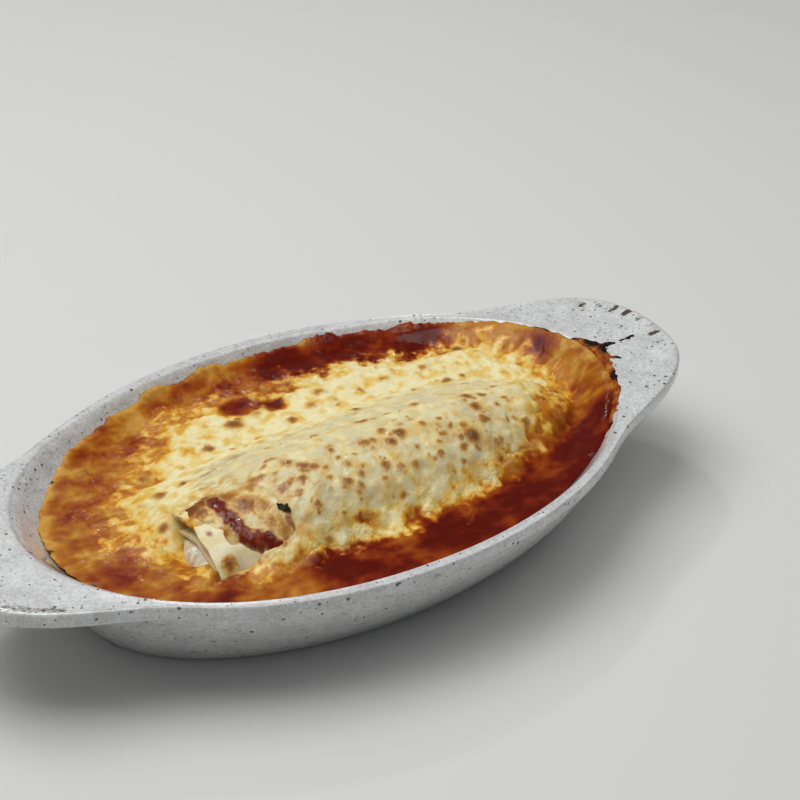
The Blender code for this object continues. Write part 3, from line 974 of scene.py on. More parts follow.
    pools: tuple[Spot, ...] = (
        (-8.0, 39.5, 6.5, 1.2), (1.5, 34.5, 5.0, 1.2), (-20.0, -41.0, 10.0, 1.0), (14.0, -46.0, 13.0, 0.75),
        (38.0, -42.0, 13.0, 0.80), (60.0, -36.0, 12.0, 0.75), (77.0, -28.5, 6.0, 0.85), (56.0, 41.0, 12.0, 0.95),
        (36.0, 50.0, 12.0, 0.75), (16.0, 50.0, 12.0, 0.80), (-8.0, 40.0, 8.0, 0.65), (86.0, 12.0, 6.0, 0.55),
        (-50.0, -33.0, 5.0, 0.4), (-70.0, -12.0, 6.0, 0.45))
    crusts: tuple[Spot, ...] = (
        (-78.0, 4.0, 22.0, 0.75), (-60.0, 28.0, 24.0, 0.78), (-30.0, 50.0, 20.0, 0.74), (-2.0, 58.0, 12.0, 0.66),
        (84.0, 0.0, 15.0, 1.0), (87.0, -14.0, 10.0, 0.85), (77.0, 24.0, 14.0, 0.8), (72.0, -12.0, 9.0, 0.8),
        (-66.0, -24.0, 14.0, 0.66), (56.0, -27.0, 7.0, 0.7), (-40.0, -42.0, 13.0, 0.62),
        (66.0, -16.0, 9.0, 0.62), (20.0, -36.5, 7.0, 0.45), (0.0, -36.0, 7.0, 0.50), (44.0, -33.0, 8.0, 0.5))
    caught: tuple[Triple, ...] = (
        (15.0, 4.0, 0.7), (24.0, 3.0, 0.5), (130.0, 1.4, 0.9), (145.0, 1.2, 0.9), (152.0, 1.0, 0.7),
        (176.0, 1.6, 0.8), (196.0, 2.0, 0.6))
    spilled: Triple = (343.0, 18.0, 26.0)
    thin_cheese: tuple[Spot, ...] = ((-57.0, -20.5, 5.5, 1.0), (-53.0, -34.0, 6.0, 1.0))
    dip: Spot = (-55.0, -17.0, 5.2, 2.7)
    bare_end: Course = ((-60.0, -20.0), (-52.0, -24.0), (-47.0, -25.0), (-47.0, -34.0))
    before_mouth: Course = ((-66.0, -15.0), (-55.6, -19.0), (-55.4, -12.0), (-55.3, -2.5))

    def wall_line(self, x: Array, y: Array) -> tuple[Array, Array, Array]:
        """Angle round the oval, share of the way to the food's edge, and the edge's height.

        Args:
            x: Places along.
            y: Places across.

        Returns:
            Angles in radians, shares from 0 in the middle to 1, and heights.
        """
        turn = np.arctan2(y / self.bowl.mouth[1], x / self.bowl.mouth[0])
        edge_x, edge_y, edge = self.bowl.wall(turn, around(self.food_line, turn))
        return turn, np.hypot(x, y) / np.hypot(edge_x, edge_y), edge

    def lace(self, turn: Array) -> Array:
        """Extra height of the ragged film that the boiling sauce left on the wall.

        Args:
            turn: Angles round the oval in radians.

        Returns:
            Heights to add, in millimetres.
        """
        along_x, along_y = 90.0 * np.cos(turn), 60.0 * np.sin(turn)
        extra = 0.42 * Lumps(4.5, 3, seed=5, keep=0.7).at(along_x, along_y)
        degrees = np.degrees(turn) % 360.0
        torn = 1.0 + 0.5 * Lumps(1.8, 2, seed=6).at(along_x, along_y)
        for place, reach, half in self.scraps:
            extra = extra + reach * torn * np.exp(-(((degrees - place) / half) ** 4))
        return extra

    def baked(self, x: Array, y: Array) -> Array:
        """How lumpy and dry the sauce has baked, from 0 in wet pools to 1 in crusts.

        Args:
            x: Places along.
            y: Places across.

        Returns:
            Shares from 0 to 1.
        """
        dry = domes(self.crusts, x, y)
        wet = domes(self.pools, x, y)
        return np.clip(0.35 + 0.75 * dry - 0.6 * wet, 0.0, 1.0)

    def off_roll(self, x: Array, y: Array) -> Array:
        """Millimetres outside the roll's outline in plan, zero within it.

        Args:
            x: Places along.
            y: Places across.

        Returns:
            Distances in millimetres.
        """
        wide, _ = self.roll.halves(x)
        side = np.maximum(np.abs(y - self.roll.middle(x)) - wide, 0.0)
        ends = np.maximum(np.maximum(self.roll.start - x, x - self.roll.end), 0.0)
        return np.hypot(side, ends)

    def sauce_top(self, x: Array, y: Array, lace: Array | None = None) -> Array:
        """Height of the sauce's skin.

        Args:
            x: Places along.
            y: Places across.
            lace: Extra height of the ragged film on the wall, where it is known.

        Returns:
            Heights in millimetres.
        """
        turn, share, edge = self.wall_line(x, y)
        if lace is None:
            lace = self.lace(turn)
        baked = self.baked(x, y)
        lumps = (0.40 * Lumps(12.0, 2, seed=3).at(x, y)
                 + (0.12 + 0.50 * baked) * Lumps(4.2, 3, seed=8, keep=0.6).at(x, y)
                 + 0.9 * baked * np.maximum(Lumps(2.6, 2, seed=9).at(x, y) - 0.35, 0.0))
        meniscus = 1.3 * np.exp(-self.off_roll(x, y) / 2.2) * smooth(-54.0, -46.0, x)
        open_level = self.level + self.climb[0] * x + self.climb[1] * y + lumps + meniscus
        open_level = open_level + domes(self.mounds, x, y)
        cling = smooth(0.86, 1.0, share)
        return open_level * (1.0 - cling) + edge * cling + lace * smooth(0.965, 1.0, share)

    def cheese_margin(self, x: Array, y: Array) -> Array:
        """Millimetres from a place to the cheese's torn outline, positive inside it.

        Args:
            x: Places along.
            y: Places across.

        Returns:
            Distances, negative outside the cheese.
        """
        away_x = x - self.cheese_middle[0]
        away_y = y - self.cheese_middle[1]
        reach = around(self.cheese_reach, np.arctan2(away_y, away_x))
        torn = 3.2 * Lumps(12.0, 2, seed=21).at(x, y) + 2.2 * Lumps(4.0, 3, seed=22, keep=0.65).at(x, y)
        return reach - np.hypot(away_x, away_y) + torn

    def cover(self, x: Array, y: Array) -> Array:
        """How much cheese lies at a place, from 0 for bare sauce to 1.

        Args:
            x: Places along.
            y: Places across.

        Returns:
            Shares from 0 to 1.
        """
        margin = self.cheese_margin(x, y)
        across = self.roll.unrolled(x, y)
        out = 8.0 + 6.0 * smooth(-24.0, -6.0, y) * smooth(10.0, -25.0, x) + 4.0 * smooth(56.0, 72.0, x)
        blurred = margin + 3.4 * Lumps(7.0, 3, seed=30, keep=0.6).at(x, across)
        body = np.maximum(np.minimum((blurred + out) / (2.0 * out - 3.0), 1.0), 0.0)
        body = body * body * (3.0 - 2.0 * body)
        patchy = Lumps(8.0, 4, seed=31, keep=0.6).at(x, across)
        golden = Lumps(5.0, 3, seed=32, keep=0.6).at(x, across)
        thin = 0.30 * np.maximum(patchy, 0.0) * smooth(30.0, 6.0, margin) + 0.30 * smooth(-0.3, 0.8, golden)
        ridge = 1.0 - np.abs(Lumps(6.5, 3, seed=33, keep=0.55, stretch=1.8).at(x, y)) * 3.0
        frothy = np.maximum(self.baked(x, y), 0.3 * smooth(-9.0, -3.0, margin)) * smooth(-30.0, -2.0, margin)
        froth = 0.46 * frothy * np.clip(ridge, 0.0, 1.0) + 0.16 * frothy
        cover = froth + (1.0 - froth) * body - thin
        cover = cover - 0.6 * domes(self.thin_cheese, x, y)
        holes = domes(self.windows, x + Lumps(4.0, 2, seed=35).at(x, y), y, 3.0)
        return np.clip(np.clip(cover, 0.0, 1.0) * (1.0 - holes), 0.0, 1.0)

    def crust(self, x: Array, y: Array) -> Array:
        """How far the sauce has baked, from wet and red at 0 to golden-brown at 1.

        Args:
            x: Places along.
            y: Places across.

        Returns:
            Shares from 0 to 1.
        """
        marbling = 0.36 * Lumps(8.5, 3, seed=51, keep=0.6, stretch=1.3).at(x, y)
        _, share, _ = self.wall_line(x, y)
        rim = 0.35 * smooth(0.95, 1.0, share) * smooth(-20.0, 10.0, y)
        border = 0.30 * smooth(-9.0, -2.0, self.cheese_margin(x, y))
        return np.clip(0.92 * self.baked(x, y) + marbling + rim + border - 0.04, 0.0, 1.0)

    def toast(self, x: Array, y: Array) -> Array:
        """Toasted blisters, from 0 to 1.

        Args:
            x: Places along.
            y: Places across.

        Returns:
            Shares from 0 to 1.
        """
        across = self.roll.unrolled(x, y)
        bent_x = x + 0.5 * Lumps(2.6, 2, seed=61).at(x, across)
        bent_y = across + 0.5 * Lumps(2.6, 2, seed=62).at(x, across)
        large = [(*spot[:2], 0.86 * spot[2], spot[3]) for spot in self.blisters]
        spots = domes(self.on_curve(large) + self.small_blisters(), bent_x, bent_y, 1.7)
        face = smooth(6.0, -6.0, self.off_roll(x, y)) * smooth(10.0, -4.0, y - self.roll.middle(x))
        tan = 0.55 * face * smooth(-0.2, 0.7, Lumps(4.4, 3, seed=63, keep=0.55).at(x, across))
        patches = smooth(-0.4, 0.4, Lumps(3.0, 2, seed=64).at(x, across))
        beside_dark = 0.34 * smooth(-6.0, -1.0, self.dark_lies(x, y)) * patches
        return np.maximum(np.maximum(spots, tan), beside_dark) * smooth(-5.0, 0.0, self.cheese_margin(x, y))

    def on_curve(self, spots: Iterable[Spot]) -> list[Spot]:
        """Spots with their places across measured over the roll's curve.

        Args:
            spots: Place, radius and strength of each spot.

        Returns:
            The same spots, moved.
        """
        x = np.array([spot[0] for spot in spots])
        y = np.array([spot[1] for spot in spots])
        across = self.roll.unrolled(x, y)
        return [(spot[0], float(place), spot[2], spot[3]) for spot, place in zip(spots, across)]

    def small_blisters(self) -> list[Spot]:
        """Seeded small blisters over the roll's near side and, fewer, on the flat cheese.

        Returns:
            Place, radius and strength of each, with the place across over the roll's curve.
        """
        draw = np.random.default_rng(404)
        spots = []
        for _ in range(150):
            x = draw.uniform(-34.0, 56.0)
            across = float(self.roll.middle(np.float64(x))) + draw.normal(-9.0, 9.5)
            spots.append((x, across, draw.uniform(0.5, 1.7), draw.uniform(0.35, 0.85)))
        for _ in range(40):
            spots.append((draw.uniform(-50.0, 66.0), draw.uniform(12.0, 42.0), draw.uniform(0.5, 1.5),
                          draw.uniform(0.2, 0.5)))
        return spots

    def char(self, x: Array, y: Array) -> Array:
        """Burnt places along the edge on the wall.

        Args:
            x: Places along.
            y: Places across.

        Returns:
            Shares from 0 to 1.
        """
        turn, share, _ = self.wall_line(x, y)
        degrees = np.degrees(turn) % 360.0
        hot = np.zeros_like(x)
        for place, half, strength in self.caught:
            gap = np.abs((degrees - place + 180.0) % 360.0 - 180.0)
            hot = np.maximum(hot, strength * np.exp(-((gap / half) ** 2)))
        torn = 0.5 + 0.8 * Lumps(3.0, 3, seed=83, keep=0.7).at(x, y)
        middle, low, high = self.spilled
        edge = 0.22 * smooth(low, high, np.abs((degrees - middle + 180.0) % 360.0 - 180.0))
        return np.clip(smooth(0.965, 0.998, share) * (edge + 0.85 * hot * torn), 0.0, 1.0)

    def veil(self, x: Array, y: Array) -> Array:
        """Thin greyish cheese stretched over the roll.

        Args:
            x: Places along.
            y: Places across.

        Returns:
            Shares from 0 to 1.
        """
        near = smooth(9.0, 0.0, self.off_roll(x, y))
        along = smooth(-48.0, -34.0, x) * smooth(70.0, 54.0, x)
        across = self.roll.unrolled(x, y)
        patches = 0.55 + 0.55 * Lumps(7.0, 3, seed=71, keep=0.6).at(x, across)
        high = smooth(-27.0, -15.0, across - self.roll.middle(x))
        return np.clip(near * along * patches * high * smooth(1.0, 6.0, self.cheese_margin(x, y)), 0.0, 1.0)

    def sheer(self, x: Array, y: Array) -> Array:
        """Places where the cheese over the roll is stretched so thin that brown shows through.

        Args:
            x: Places along.
            y: Places across.

        Returns:
            Shares from 0 to 1.
        """
        across = self.roll.unrolled(x, y)
        streaks = 0.5 + 0.9 * Lumps(2.6, 4, seed=72, keep=0.7, stretch=3.0).at(x, across)
        body = smooth(self.roll.end + 2.0, self.roll.end - 8.0, x)
        return np.clip(domes(self.on_curve(self.sheers), x, across) * streaks * body, 0.0, 1.0)

    def dark_lies(self, x: Array, y: Array) -> Array:
        """Millimetres inside the edge of the dark sauce on the roll.

        Args:
            x: Places along.
            y: Places across.

        Returns:
            Distances, negative outside the dark sauce.
        """
        away_x = x - self.dark_middle[0]
        away_y = y - self.dark_middle[1]
        reach = around(self.dark_reach, np.arctan2(away_y, away_x))
        return reach + 0.7 * Lumps(3.0, 3, seed=501).at(x, y) - np.hypot(away_x, away_y)

    def wet(self, x: Array, y: Array) -> Array:
        """How oily and shiny the surface is.

        Args:
            x: Places along.
            y: Places across.

        Returns:
            Shares from 0 to 1.
        """
        greasy = [(*spot[:2], 2.2 * spot[2], 0.9) for spot in self.blisters if spot[1] < -10.0]
        oil = domes(self.on_curve(greasy), x, self.roll.unrolled(x, y))
        base = 0.85 - 0.6 * self.baked(x, y) + 0.35 * Lumps(5.0, 2, seed=81).at(x, y)
        dull = 0.55 * smooth(0.0, 8.0, self.cheese_margin(x, y))
        return np.clip(np.maximum(base - dull, oil), 0.05, 1.0)

    def slope(self, x: Array, y: Array) -> Array:
        """Height of the soft slope that runs from the roll down to the level food.

        Args:
            x: Places along.
            y: Places across.

        Returns:
            Heights in millimetres.
        """
        wide, tall = self.roll.halves(x)
        side = y - self.roll.middle(x)
        skirt = self.skirt[0] + (self.skirt[1] - self.skirt[0]) * smooth(-4.0, 4.0, side)
        skirt = skirt + 1.6 * Lumps(8.0, 2, seed=101).at(x, y)
        beyond = np.maximum(x - self.roll.end + 8.0, 0.0) / 20.0
        spread = np.maximum(1.0 - (side / (wide + skirt)) ** 2 - beyond ** 2, 0.0) ** 1.15
        peak = self.roll.bottom + 2.0 * tall - 0.8
        behind = smooth(3.0, 11.0, side)
        starts = smooth(-46.0, -36.0, x) * (1.0 - behind) + smooth(-61.0, -50.0, x) * behind
        return self.level + (peak - self.level) * spread * starts

    def bed(self, x: Array, y: Array, lace: Array | None = None) -> Array:
        """Height of the sauce with the slope up to the roll and the dip before its mouth.

        Args:
            x: Places along.
            y: Places across.
            lace: Extra height of the ragged film on the wall, where it is known.

        Returns:
            Heights in millimetres.
        """
        dip = domes([self.dip], x, y, 3.0)
        far = np.where(x > self.roll.end - 4.0, self.roll.top(x, y, 0.4, 22.0), 0.0)
        return blend_max(blend_max(self.sauce_top(x, y, lace), self.slope(x, y), 1.4) - dip, far, 0.8)

    def drape(self, x: Array, y: Array) -> Array:
        """Height of what the cheese lies on: sauce, slope and roll."""
        return blend_max(self.roll.top(x, y, 0.5, 22.0), self.bed(x, y), 1.0)

    def cheese_lies(self, x: Array, y: Array) -> Array:
        """Millimetres inside the cheese layer, with the roll's bare end and the dark sauce left out.

        Args:
            x: Places along.
            y: Places across.

        Returns:
            Distances, negative outside the layer.
        """
        bare = away_from(self.bare_end, x, y) - 8.0
        back = away_from(self.before_mouth, x, y) - 4.1
        torn = 0.8 * Lumps(3.0, 3, seed=95).at(x, y)
        under_dark = 1.2 - self.dark_lies(x, y)
        return np.minimum(self.cheese_margin(x, y), np.minimum(np.minimum(bare, back) + torn, under_dark))

    def cheese_top(self, x: Array, y: Array) -> Array:
        """Height of the cheese's upper side; outside its edge it dips under the sauce.

        Args:
            x: Places along.
            y: Places across.

        Returns:
            Heights in millimetres.
        """
        lies = self.cheese_lies(x, y)
        holes = domes(self.windows, x, y, 3.0)
        full = 1.5 * smooth(-1.0, 10.0, lies) + 0.25 * smooth(-0.4, 0.6, lies) - 0.9 * smooth(-0.2, -2.0, lies)
        across = self.roll.unrolled(x, y)
        pillows = (0.35 * Lumps(7.0, 2, seed=91).at(x, across)
                   + 0.26 * Lumps(2.6, 3, seed=92, keep=0.62).at(x, across))
        strands = (0.22 * Lumps(1.3, 3, seed=93, keep=0.7, stretch=5.0).at(x, across)
                   * (0.4 * self.veil(x, y) + self.sheer(x, y)))
        relief = (pillows + strands + 0.42 * self.toast(x, y)) * smooth(-1.0, 3.0, lies)
        on_roll = (y < -1.0) & (x < self.roll.start + 1.0) & (x > self.roll.start - 1.5) & (y > -32.0)
        under = np.where(on_roll, self.roll.start + 1.0, x)
        return self.drape(under, y) + full * (1.0 - 1.1 * holes) + relief

    def paint_all(self, piece: Piece) -> None:
        """Store every painted value on a piece of the food.

        Args:
            piece: A piece of the food.
        """
        x, y, _ = Tool.places(piece).T
        for name in PAINTED:
            Tool.paint(piece, name, getattr(self, name)(x, y))


@dataclass
class Skin:
    """A thin layer of food laid over what is under it, with a free-form edge.

    Attributes:
        name: The piece's name.
        low: Lowest corner of its field in millimetres.
        high: Highest corner of its field.
        step: Distance between its vertices.
        inside: Field that is positive where the layer lies.
        top: Height of its upper side.
        thick: Its thickness in millimetres.
        least: Fewest faces that a separate scrap may have.
    """

    name: str
    low: Pair
    high: Pair
    step: float
    inside: Field
    top: Field
    thick: float = 0.5
    least: int = 30

    def build(self) -> Piece:
        """Lay out a grid, trim it to the edge, drape it and give it thickness.

        Returns:
            The finished layer.
        """
        width = self.high[0] - self.low[0]
        depth = self.high[1] - self.low[1]
        Tool.clear_selection()
        bpy.ops.mesh.primitive_grid_add(
            x_subdivisions=round(width / self.step), y_subdivisions=round(depth / self.step), size=MM,
            location=(0.5 * (self.low[0] + self.high[0]) * MM, 0.5 * (self.low[1] + self.high[1]) * MM, 0.0))
        bpy.ops.transform.resize(value=(width, depth, 1.0))
        bpy.ops.object.transform_apply(location=True, rotation=False, scale=True)
        piece = Tool.added(self.name)
        self._trim(piece)
        places = Tool.places(piece)
        self._snap(piece, places)
        places[:, 2] = self.top(places[:, 0], places[:, 1])
        Tool.move(piece, places)
        Tool.apply_modifier(piece, "SOLIDIFY", thickness=self.thick * MM, offset=-1.0, use_rim=True)
        return piece

    def _trim(self, piece: Piece) -> None:
        """Delete the faces outside the edge, and scraps too small to matter.

        Args:
            piece: The flat layer.
        """
        bm = bmesh.new()
        bm.from_mesh(piece.data)
        bm.faces.ensure_lookup_table()
        middles = np.array([face.calc_center_median()[:2] for face in bm.faces]) / MM
        keep = self.inside(middles[:, 0], middles[:, 1]) > 0.0
        lost = [face for face, kept in zip(bm.faces, keep) if not kept]
        bmesh.ops.delete(bm, geom=lost, context="FACES")
        self._drop_scraps(bm)
        self._open_pinches(bm)
        bm.to_mesh(piece.data)
        bm.free()

    def _drop_scraps(self, bm: bmesh.types.BMesh) -> None:
        """Delete islands of fewer faces than the least.

        Args:
            bm: The layer's mesh, changed in place.
        """
        seen: set[bmesh.types.BMFace] = set()
        lost: list[bmesh.types.BMFace] = []
        for face in bm.faces:
            if face in seen:
                continue
            island = [face]
            seen.add(face)
            for member in island:
                for edge in member.edges:
                    for beside in edge.link_faces:
                        if beside not in seen:
                            seen.add(beside)
                            island.append(beside)
            if len(island) < self.least:
                lost.extend(island)
        bmesh.ops.delete(bm, geom=lost, context="FACES")

    @staticmethod
    def _open_pinches(bm: bmesh.types.BMesh) -> None:
        """Delete a face wherever two faces meet at a corner alone.

        Args:
            bm: The layer's mesh, changed in place.
        """
        for _ in range(6):
            lost = set()
            for vert in bm.verts:
                open_edges = [edge for edge in vert.link_edges if len(edge.link_faces) == 1]
                if len(open_edges) > 2:
                    lost.add(vert.link_faces[0])
            if not lost:
                return
            bmesh.ops.delete(bm, geom=list(lost), context="FACES")

    def _snap(self, piece: Piece, places: Array) -> None:
        """Slide the outline's vertices on to the edge itself.

        Args:
            piece: The trimmed layer.
            places: Its vertices in millimetres, changed in place.
        """
        mesh = piece.data
        pairs = np.empty(2 * len(mesh.edges), dtype=np.int32)
        mesh.edges.foreach_get("vertices", pairs)
        uses = np.zeros(len(mesh.edges), dtype=np.int32)
        loop_edges = np.empty(len(mesh.loops), dtype=np.int32)
        mesh.loops.foreach_get("edge_index", loop_edges)
        np.add.at(uses, loop_edges, 1)
        outline = np.unique(pairs.reshape(-1, 2)[uses == 1])
        reach = 0.02 * self.step
        for _ in range(3):
            x = places[outline, 0]
            y = places[outline, 1]
            here = self.inside(x, y)
            slope_x = (self.inside(x + reach, y) - self.inside(x - reach, y)) / (2.0 * reach)
            slope_y = (self.inside(x, y + reach) - self.inside(x, y - reach)) / (2.0 * reach)
            steep = np.maximum(slope_x ** 2 + slope_y ** 2, 1e-6)
            limit = 0.35 * self.step
            places[outline, 0] -= np.clip(here * slope_x / steep, -limit, limit)
            places[outline, 1] -= np.clip(here * slope_y / steep, -limit, limit)


@dataclass
class GratinDish:
    """Oval stoneware dish: bowl, rim, two lug handles with grip notches, and foot.

    Attributes:
        bowl: The dish's form.
        sides: Points round each ring.
        steps: Rings up the inner wall, over the rim with its lugs, and down the outer wall.
        notches: Grip notches on a lug: place, half length and how bare the clay is.
        notch_depth: How deep a notch is.
        worn_edge: Course of the worn near edge of one lug.
    """

    bowl: Bowl
    sides: int = 480
    steps: tuple[int, int, int] = (16, 25, 18)
    notches: tuple[Spot, ...] = (
        (109.5, 20.2, 0.9, 0.95), (113.0, 16.6, 0.9, 0.7), (115.6, 11.6, 1.7, 1.0), (117.0, 6.8, 1.5, 1.0),
        (117.4, 1.4, 1.2, 0.66), (117.0, -3.6, 1.0, 0.6), (115.6, -8.0, 1.1, 0.95), (113.8, -12.8, 0.9, 0.62))
    notch_depth: float = 0.35
    worn_edge: Course = ((-110.0, -23.0), (-104.0, -27.5), (-96.5, -31.5))

    def rings(self) -> list[tuple[float, float, float, float]]:
        """Rings from the bowl's floor over the rim to the foot.

        Returns:
            Half the long way, half the short way, height and share of the lugs.
        """
        bowl = self.bowl
        rings = [(share * bowl.floor[0], share * bowl.floor[1], bowl.floor_height, 0.0) for share in (0.25, 0.80)]
        for step in range(self.steps[0] + 1):
            z = bowl.floor_height + (bowl.rim_height - bowl.edge - bowl.floor_height) * step / self.steps[0]
            rings.append((*(float(half) for half in bowl.inside(np.float64(z))), z, 0.0))
        # Over the rim, the way out, the drop and the share of the lugs run from the inner edge to the outer
        crown = [(0.03, 0.62, 0.0), (0.12, 0.22, 0.0), (0.24, 0.0, 0.02)]
        for step in range(1, self.steps[1]):
            lug = 0.02 + 0.915 * step / self.steps[1]
            share = 0.24 + 0.66 * step / self.steps[1]
            crown.append((share, 0.34 * math.sin(math.pi * (share - 0.24) / 0.66), lug))
        crown += [(0.90, 0.02, 0.935), (0.955, 0.22, 0.975), (0.985, 0.72, 0.993), (1.0, 1.35, 1.0)]
        for share, drop, lug in crown:
            long_half = bowl.mouth[0] + (bowl.rim[0] - bowl.mouth[0]) * share
            short_half = bowl.mouth[1] + (bowl.rim[1] - bowl.mouth[1]) * share
            rings.append((long_half, short_half, bowl.rim_height - drop * bowl.edge, lug))
        low = bowl.rim_height - bowl.band
        for inwards, z, lug in ((0.0, low + 1.6, 1.0), (0.02, low + 0.8, 0.998), (0.08, low + 0.25, 0.99),
                                (0.20, low - 0.02, 0.97), (0.45, low - 0.25, 0.62), (0.75, low - 0.45, 0.30),
                                (0.95, low - 0.7, 0.09), (1.0, low - 1.1, 0.02)):
            step = bowl.ledge * inwards
            rings.append((bowl.rim[0] - step, bowl.rim[1] - step, z, lug))
        wall = (bowl.rim[0] - bowl.ledge, bowl.rim[1] - bowl.ledge)
        ledge = low - 1.6
        for step in range(self.steps[2]):
            share = 1.0 - step / self.steps[2]
            swell = 1.0 - (1.0 - share) ** bowl.swell
            rings.append((bowl.foot[0] + (wall[0] - bowl.foot[0]) * 0.5 * (share + swell),
                          bowl.foot[1] + (wall[1] - bowl.foot[1]) * swell, ledge * share, 0.0))
        for out, z in ((0.3, 0.55), (0.0, 0.18), (-0.6, 0.0), (-9.0, 0.0)):
            rings.append((bowl.foot[0] + out, bowl.foot[1] + out, z, 0.0))
        return rings

    def build(self) -> Piece:
        """Extrude one oval face through every ring, then push out the lugs.

        Returns:
            The finished dish.
        """
        rings = self.rings()
        Tool.clear_selection()
        bpy.ops.mesh.primitive_circle_add(vertices=self.sides, radius=MM, fill_type="NGON")
        piece = Tool.added("gratin_dish")
        bpy.ops.object.mode_set(mode="EDIT")
        bpy.ops.mesh.select_all(action="SELECT")
        bpy.ops.mesh.flip_normals()
        bpy.ops.transform.resize(value=(rings[0][0], rings[0][1], 1.0), center_override=(0.0, 0.0, 0.0))
        for before, after in zip(rings, rings[1:]):
            bpy.ops.mesh.extrude_region()
            bpy.ops.transform.resize(value=(after[0] / before[0], after[1] / before[1], 1.0),
                                     center_override=(0.0, 0.0, 0.0))
        bpy.ops.object.mode_set(mode="OBJECT")
        self._shape(piece, rings)
        return piece

    def _shape(self, piece: Piece, rings: list[tuple[float, float, float, float]]) -> None:
        """Raise each ring to its height, push out the lugs and press in their notches.

        Args:
            piece: The extruded dish.
            rings: The rings that it was extruded through.
        """
        places = Tool.places(piece)
        number = np.arange(len(places)) // self.sides
        ring = np.array(rings)[number]
        turn = np.arctan2(places[:, 1] / ring[:, 1], places[:, 0] / ring[:, 0])
        x = ring[:, 0] * np.cos(turn)
        y = ring[:, 1] * np.sin(turn)
        push = 1.0 + ring[:, 3] * self.bowl.lug_push(x, y)
        x = x * push
        y = y * push
        uneven = 0.25 * Lumps(26.0, 2, seed=201).at(x, y) * smooth(20.0, 34.0, ring[:, 2])
        on_top = (ring[:, 3] > 0.0) & (ring[:, 2] > self.bowl.rim_height - 1.0)
        z = self.bowl.lift(x, ring[:, 2]) + 0.5 * uneven - self.notch_depth * self._notches(x, y) * on_top
        Tool.move(piece, np.stack((x + uneven * np.sign(x), y, z), axis=1))

    def _notches(self, x: Array, y: Array) -> Array:
        """How deep in a grip notch a place on either lug is, from 0 to 1.

        Args:
            x: Places along.
            y: Places across.

        Returns:
            Shares from 0 to 1.
        """
        deepest = np.zeros_like(x)
        for mid_x, mid_y, long_half, strength in self.notches:
            aim = math.hypot(mid_x, mid_y)
            step_x, step_y = mid_x / aim * long_half, mid_y / aim * long_half
            course = ((mid_x - step_x, mid_y - step_y), (mid_x + step_x, mid_y + step_y))
            away = away_from(course, np.abs(x), y) + 0.25 * Lumps(1.4, 2, seed=205).at(x, y)
            deepest = np.maximum(deepest, strength * smooth(1.5, 0.6, away))
        return deepest

    def wear(self, piece: Piece) -> None:
        """Paint where the glaze is thin: the notches, a lug's near edge and the foot.

        Args:
            piece: The finished dish.
        """
        x, y, z = Tool.places(piece).T
        far_end = np.where(x > 0.0, 1.0, 0.75)
        notches = self._notches(x, y) * far_end * (z > self.bowl.rim_height - 1.0)
        crumbly = away_from(self.worn_edge, x, y) + 1.1 * Lumps(2.4, 3, seed=207, keep=0.7).at(x, y)
        edge = smooth(2.6, 0.6, crumbly) * (z > self.bowl.rim_height)
        ring = smooth(0.8, 0.2, z) * (np.hypot(x, y) > 40.0)
        Tool.paint(piece, "worn", np.maximum(np.maximum(notches, 0.62 * edge), 0.4 * ring))

    def place(self) -> Piece:
        """Build, dress and mount the dish.

        Returns:
            The finished dish.
        """
        piece = self.build()
        self.wear(piece)
        Tool.dress(piece, StonewareGlaze().make(), 50.0)
        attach(piece, ROOT)
        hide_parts("dish")
        return piece


@dataclass
class Sauce:
    """Tomato sauce that fills the bowl round the roll, with its baked edge.

    Attributes:
        food: Where everything lies.
        cells: Cells of its grid along and across the dish.
    """

    food: FoodMap
    cells: tuple[int, int] = (380, 250)

    def build(self) -> Piece:
        """Fit a grid to the bowl, raise its skin and close it down the wall.

        Returns:
            The finished sauce.
        """
        # The grid's outline is extruded into rows down the wall, from the food's edge to the floor
        piece = Tool.grid("tomato_sauce", self.cells)
        count = len(piece.data.vertices)
        bpy.ops.object.mode_set(mode="EDIT")
        bpy.ops.mesh.select_all(action="SELECT")
        bpy.ops.mesh.region_to_loop()
        depths = (0.66, 0.33, 0.0)
        for _ in depths:
            bpy.ops.mesh.extrude_edges_move()
        bpy.ops.mesh.edge_face_add()
        bpy.ops.object.mode_set(mode="OBJECT")
        places = Tool.places(piece)
        u = places[:, 0]
        v = places[:, 1]
        disc_x = u * np.sqrt(1.0 - 0.5 * v * v)
        disc_y = v * np.sqrt(1.0 - 0.5 * u * u)
        share = np.minimum(np.hypot(disc_x, disc_y), 1.0)
        turn = np.arctan2(disc_y, disc_x)
        lace = self.food.lace(turn)
        raw = np.minimum(around(self.food.food_line, turn) + lace, self.food.bowl.rim_height - 0.15)
        edge_x, edge_y, _ = self.food.bowl.wall(turn, raw, -0.1)
        x = edge_x * share
        y = edge_y * share
        z = self.food.bed(x, y, lace)
        skirt = (len(places) - count) // len(depths)
        floor = self.food.bowl.floor_height
        for row, depth in enumerate(depths):
            rows = slice(count + row * skirt, count + (row + 1) * skirt)
            x[rows], y[rows], z[rows] = self.food.bowl.wall(turn[rows], floor + (raw[rows] - floor) * depth, -0.05)
        Tool.move(piece, np.stack((x, y, z), axis=1))
        return piece

    def place(self) -> Piece:
        """Build, paint and mount the sauce.

        Returns:
            The finished sauce.
        """
        piece = self.build()
        self.food.paint_all(piece)
        Tool.dress(piece, BakedTop("baked_tomato_sauce", scatter=0.06, gloss=(0.12, 0.42)).make())
        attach(piece, ROOT)
        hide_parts("sauce")
        return piece


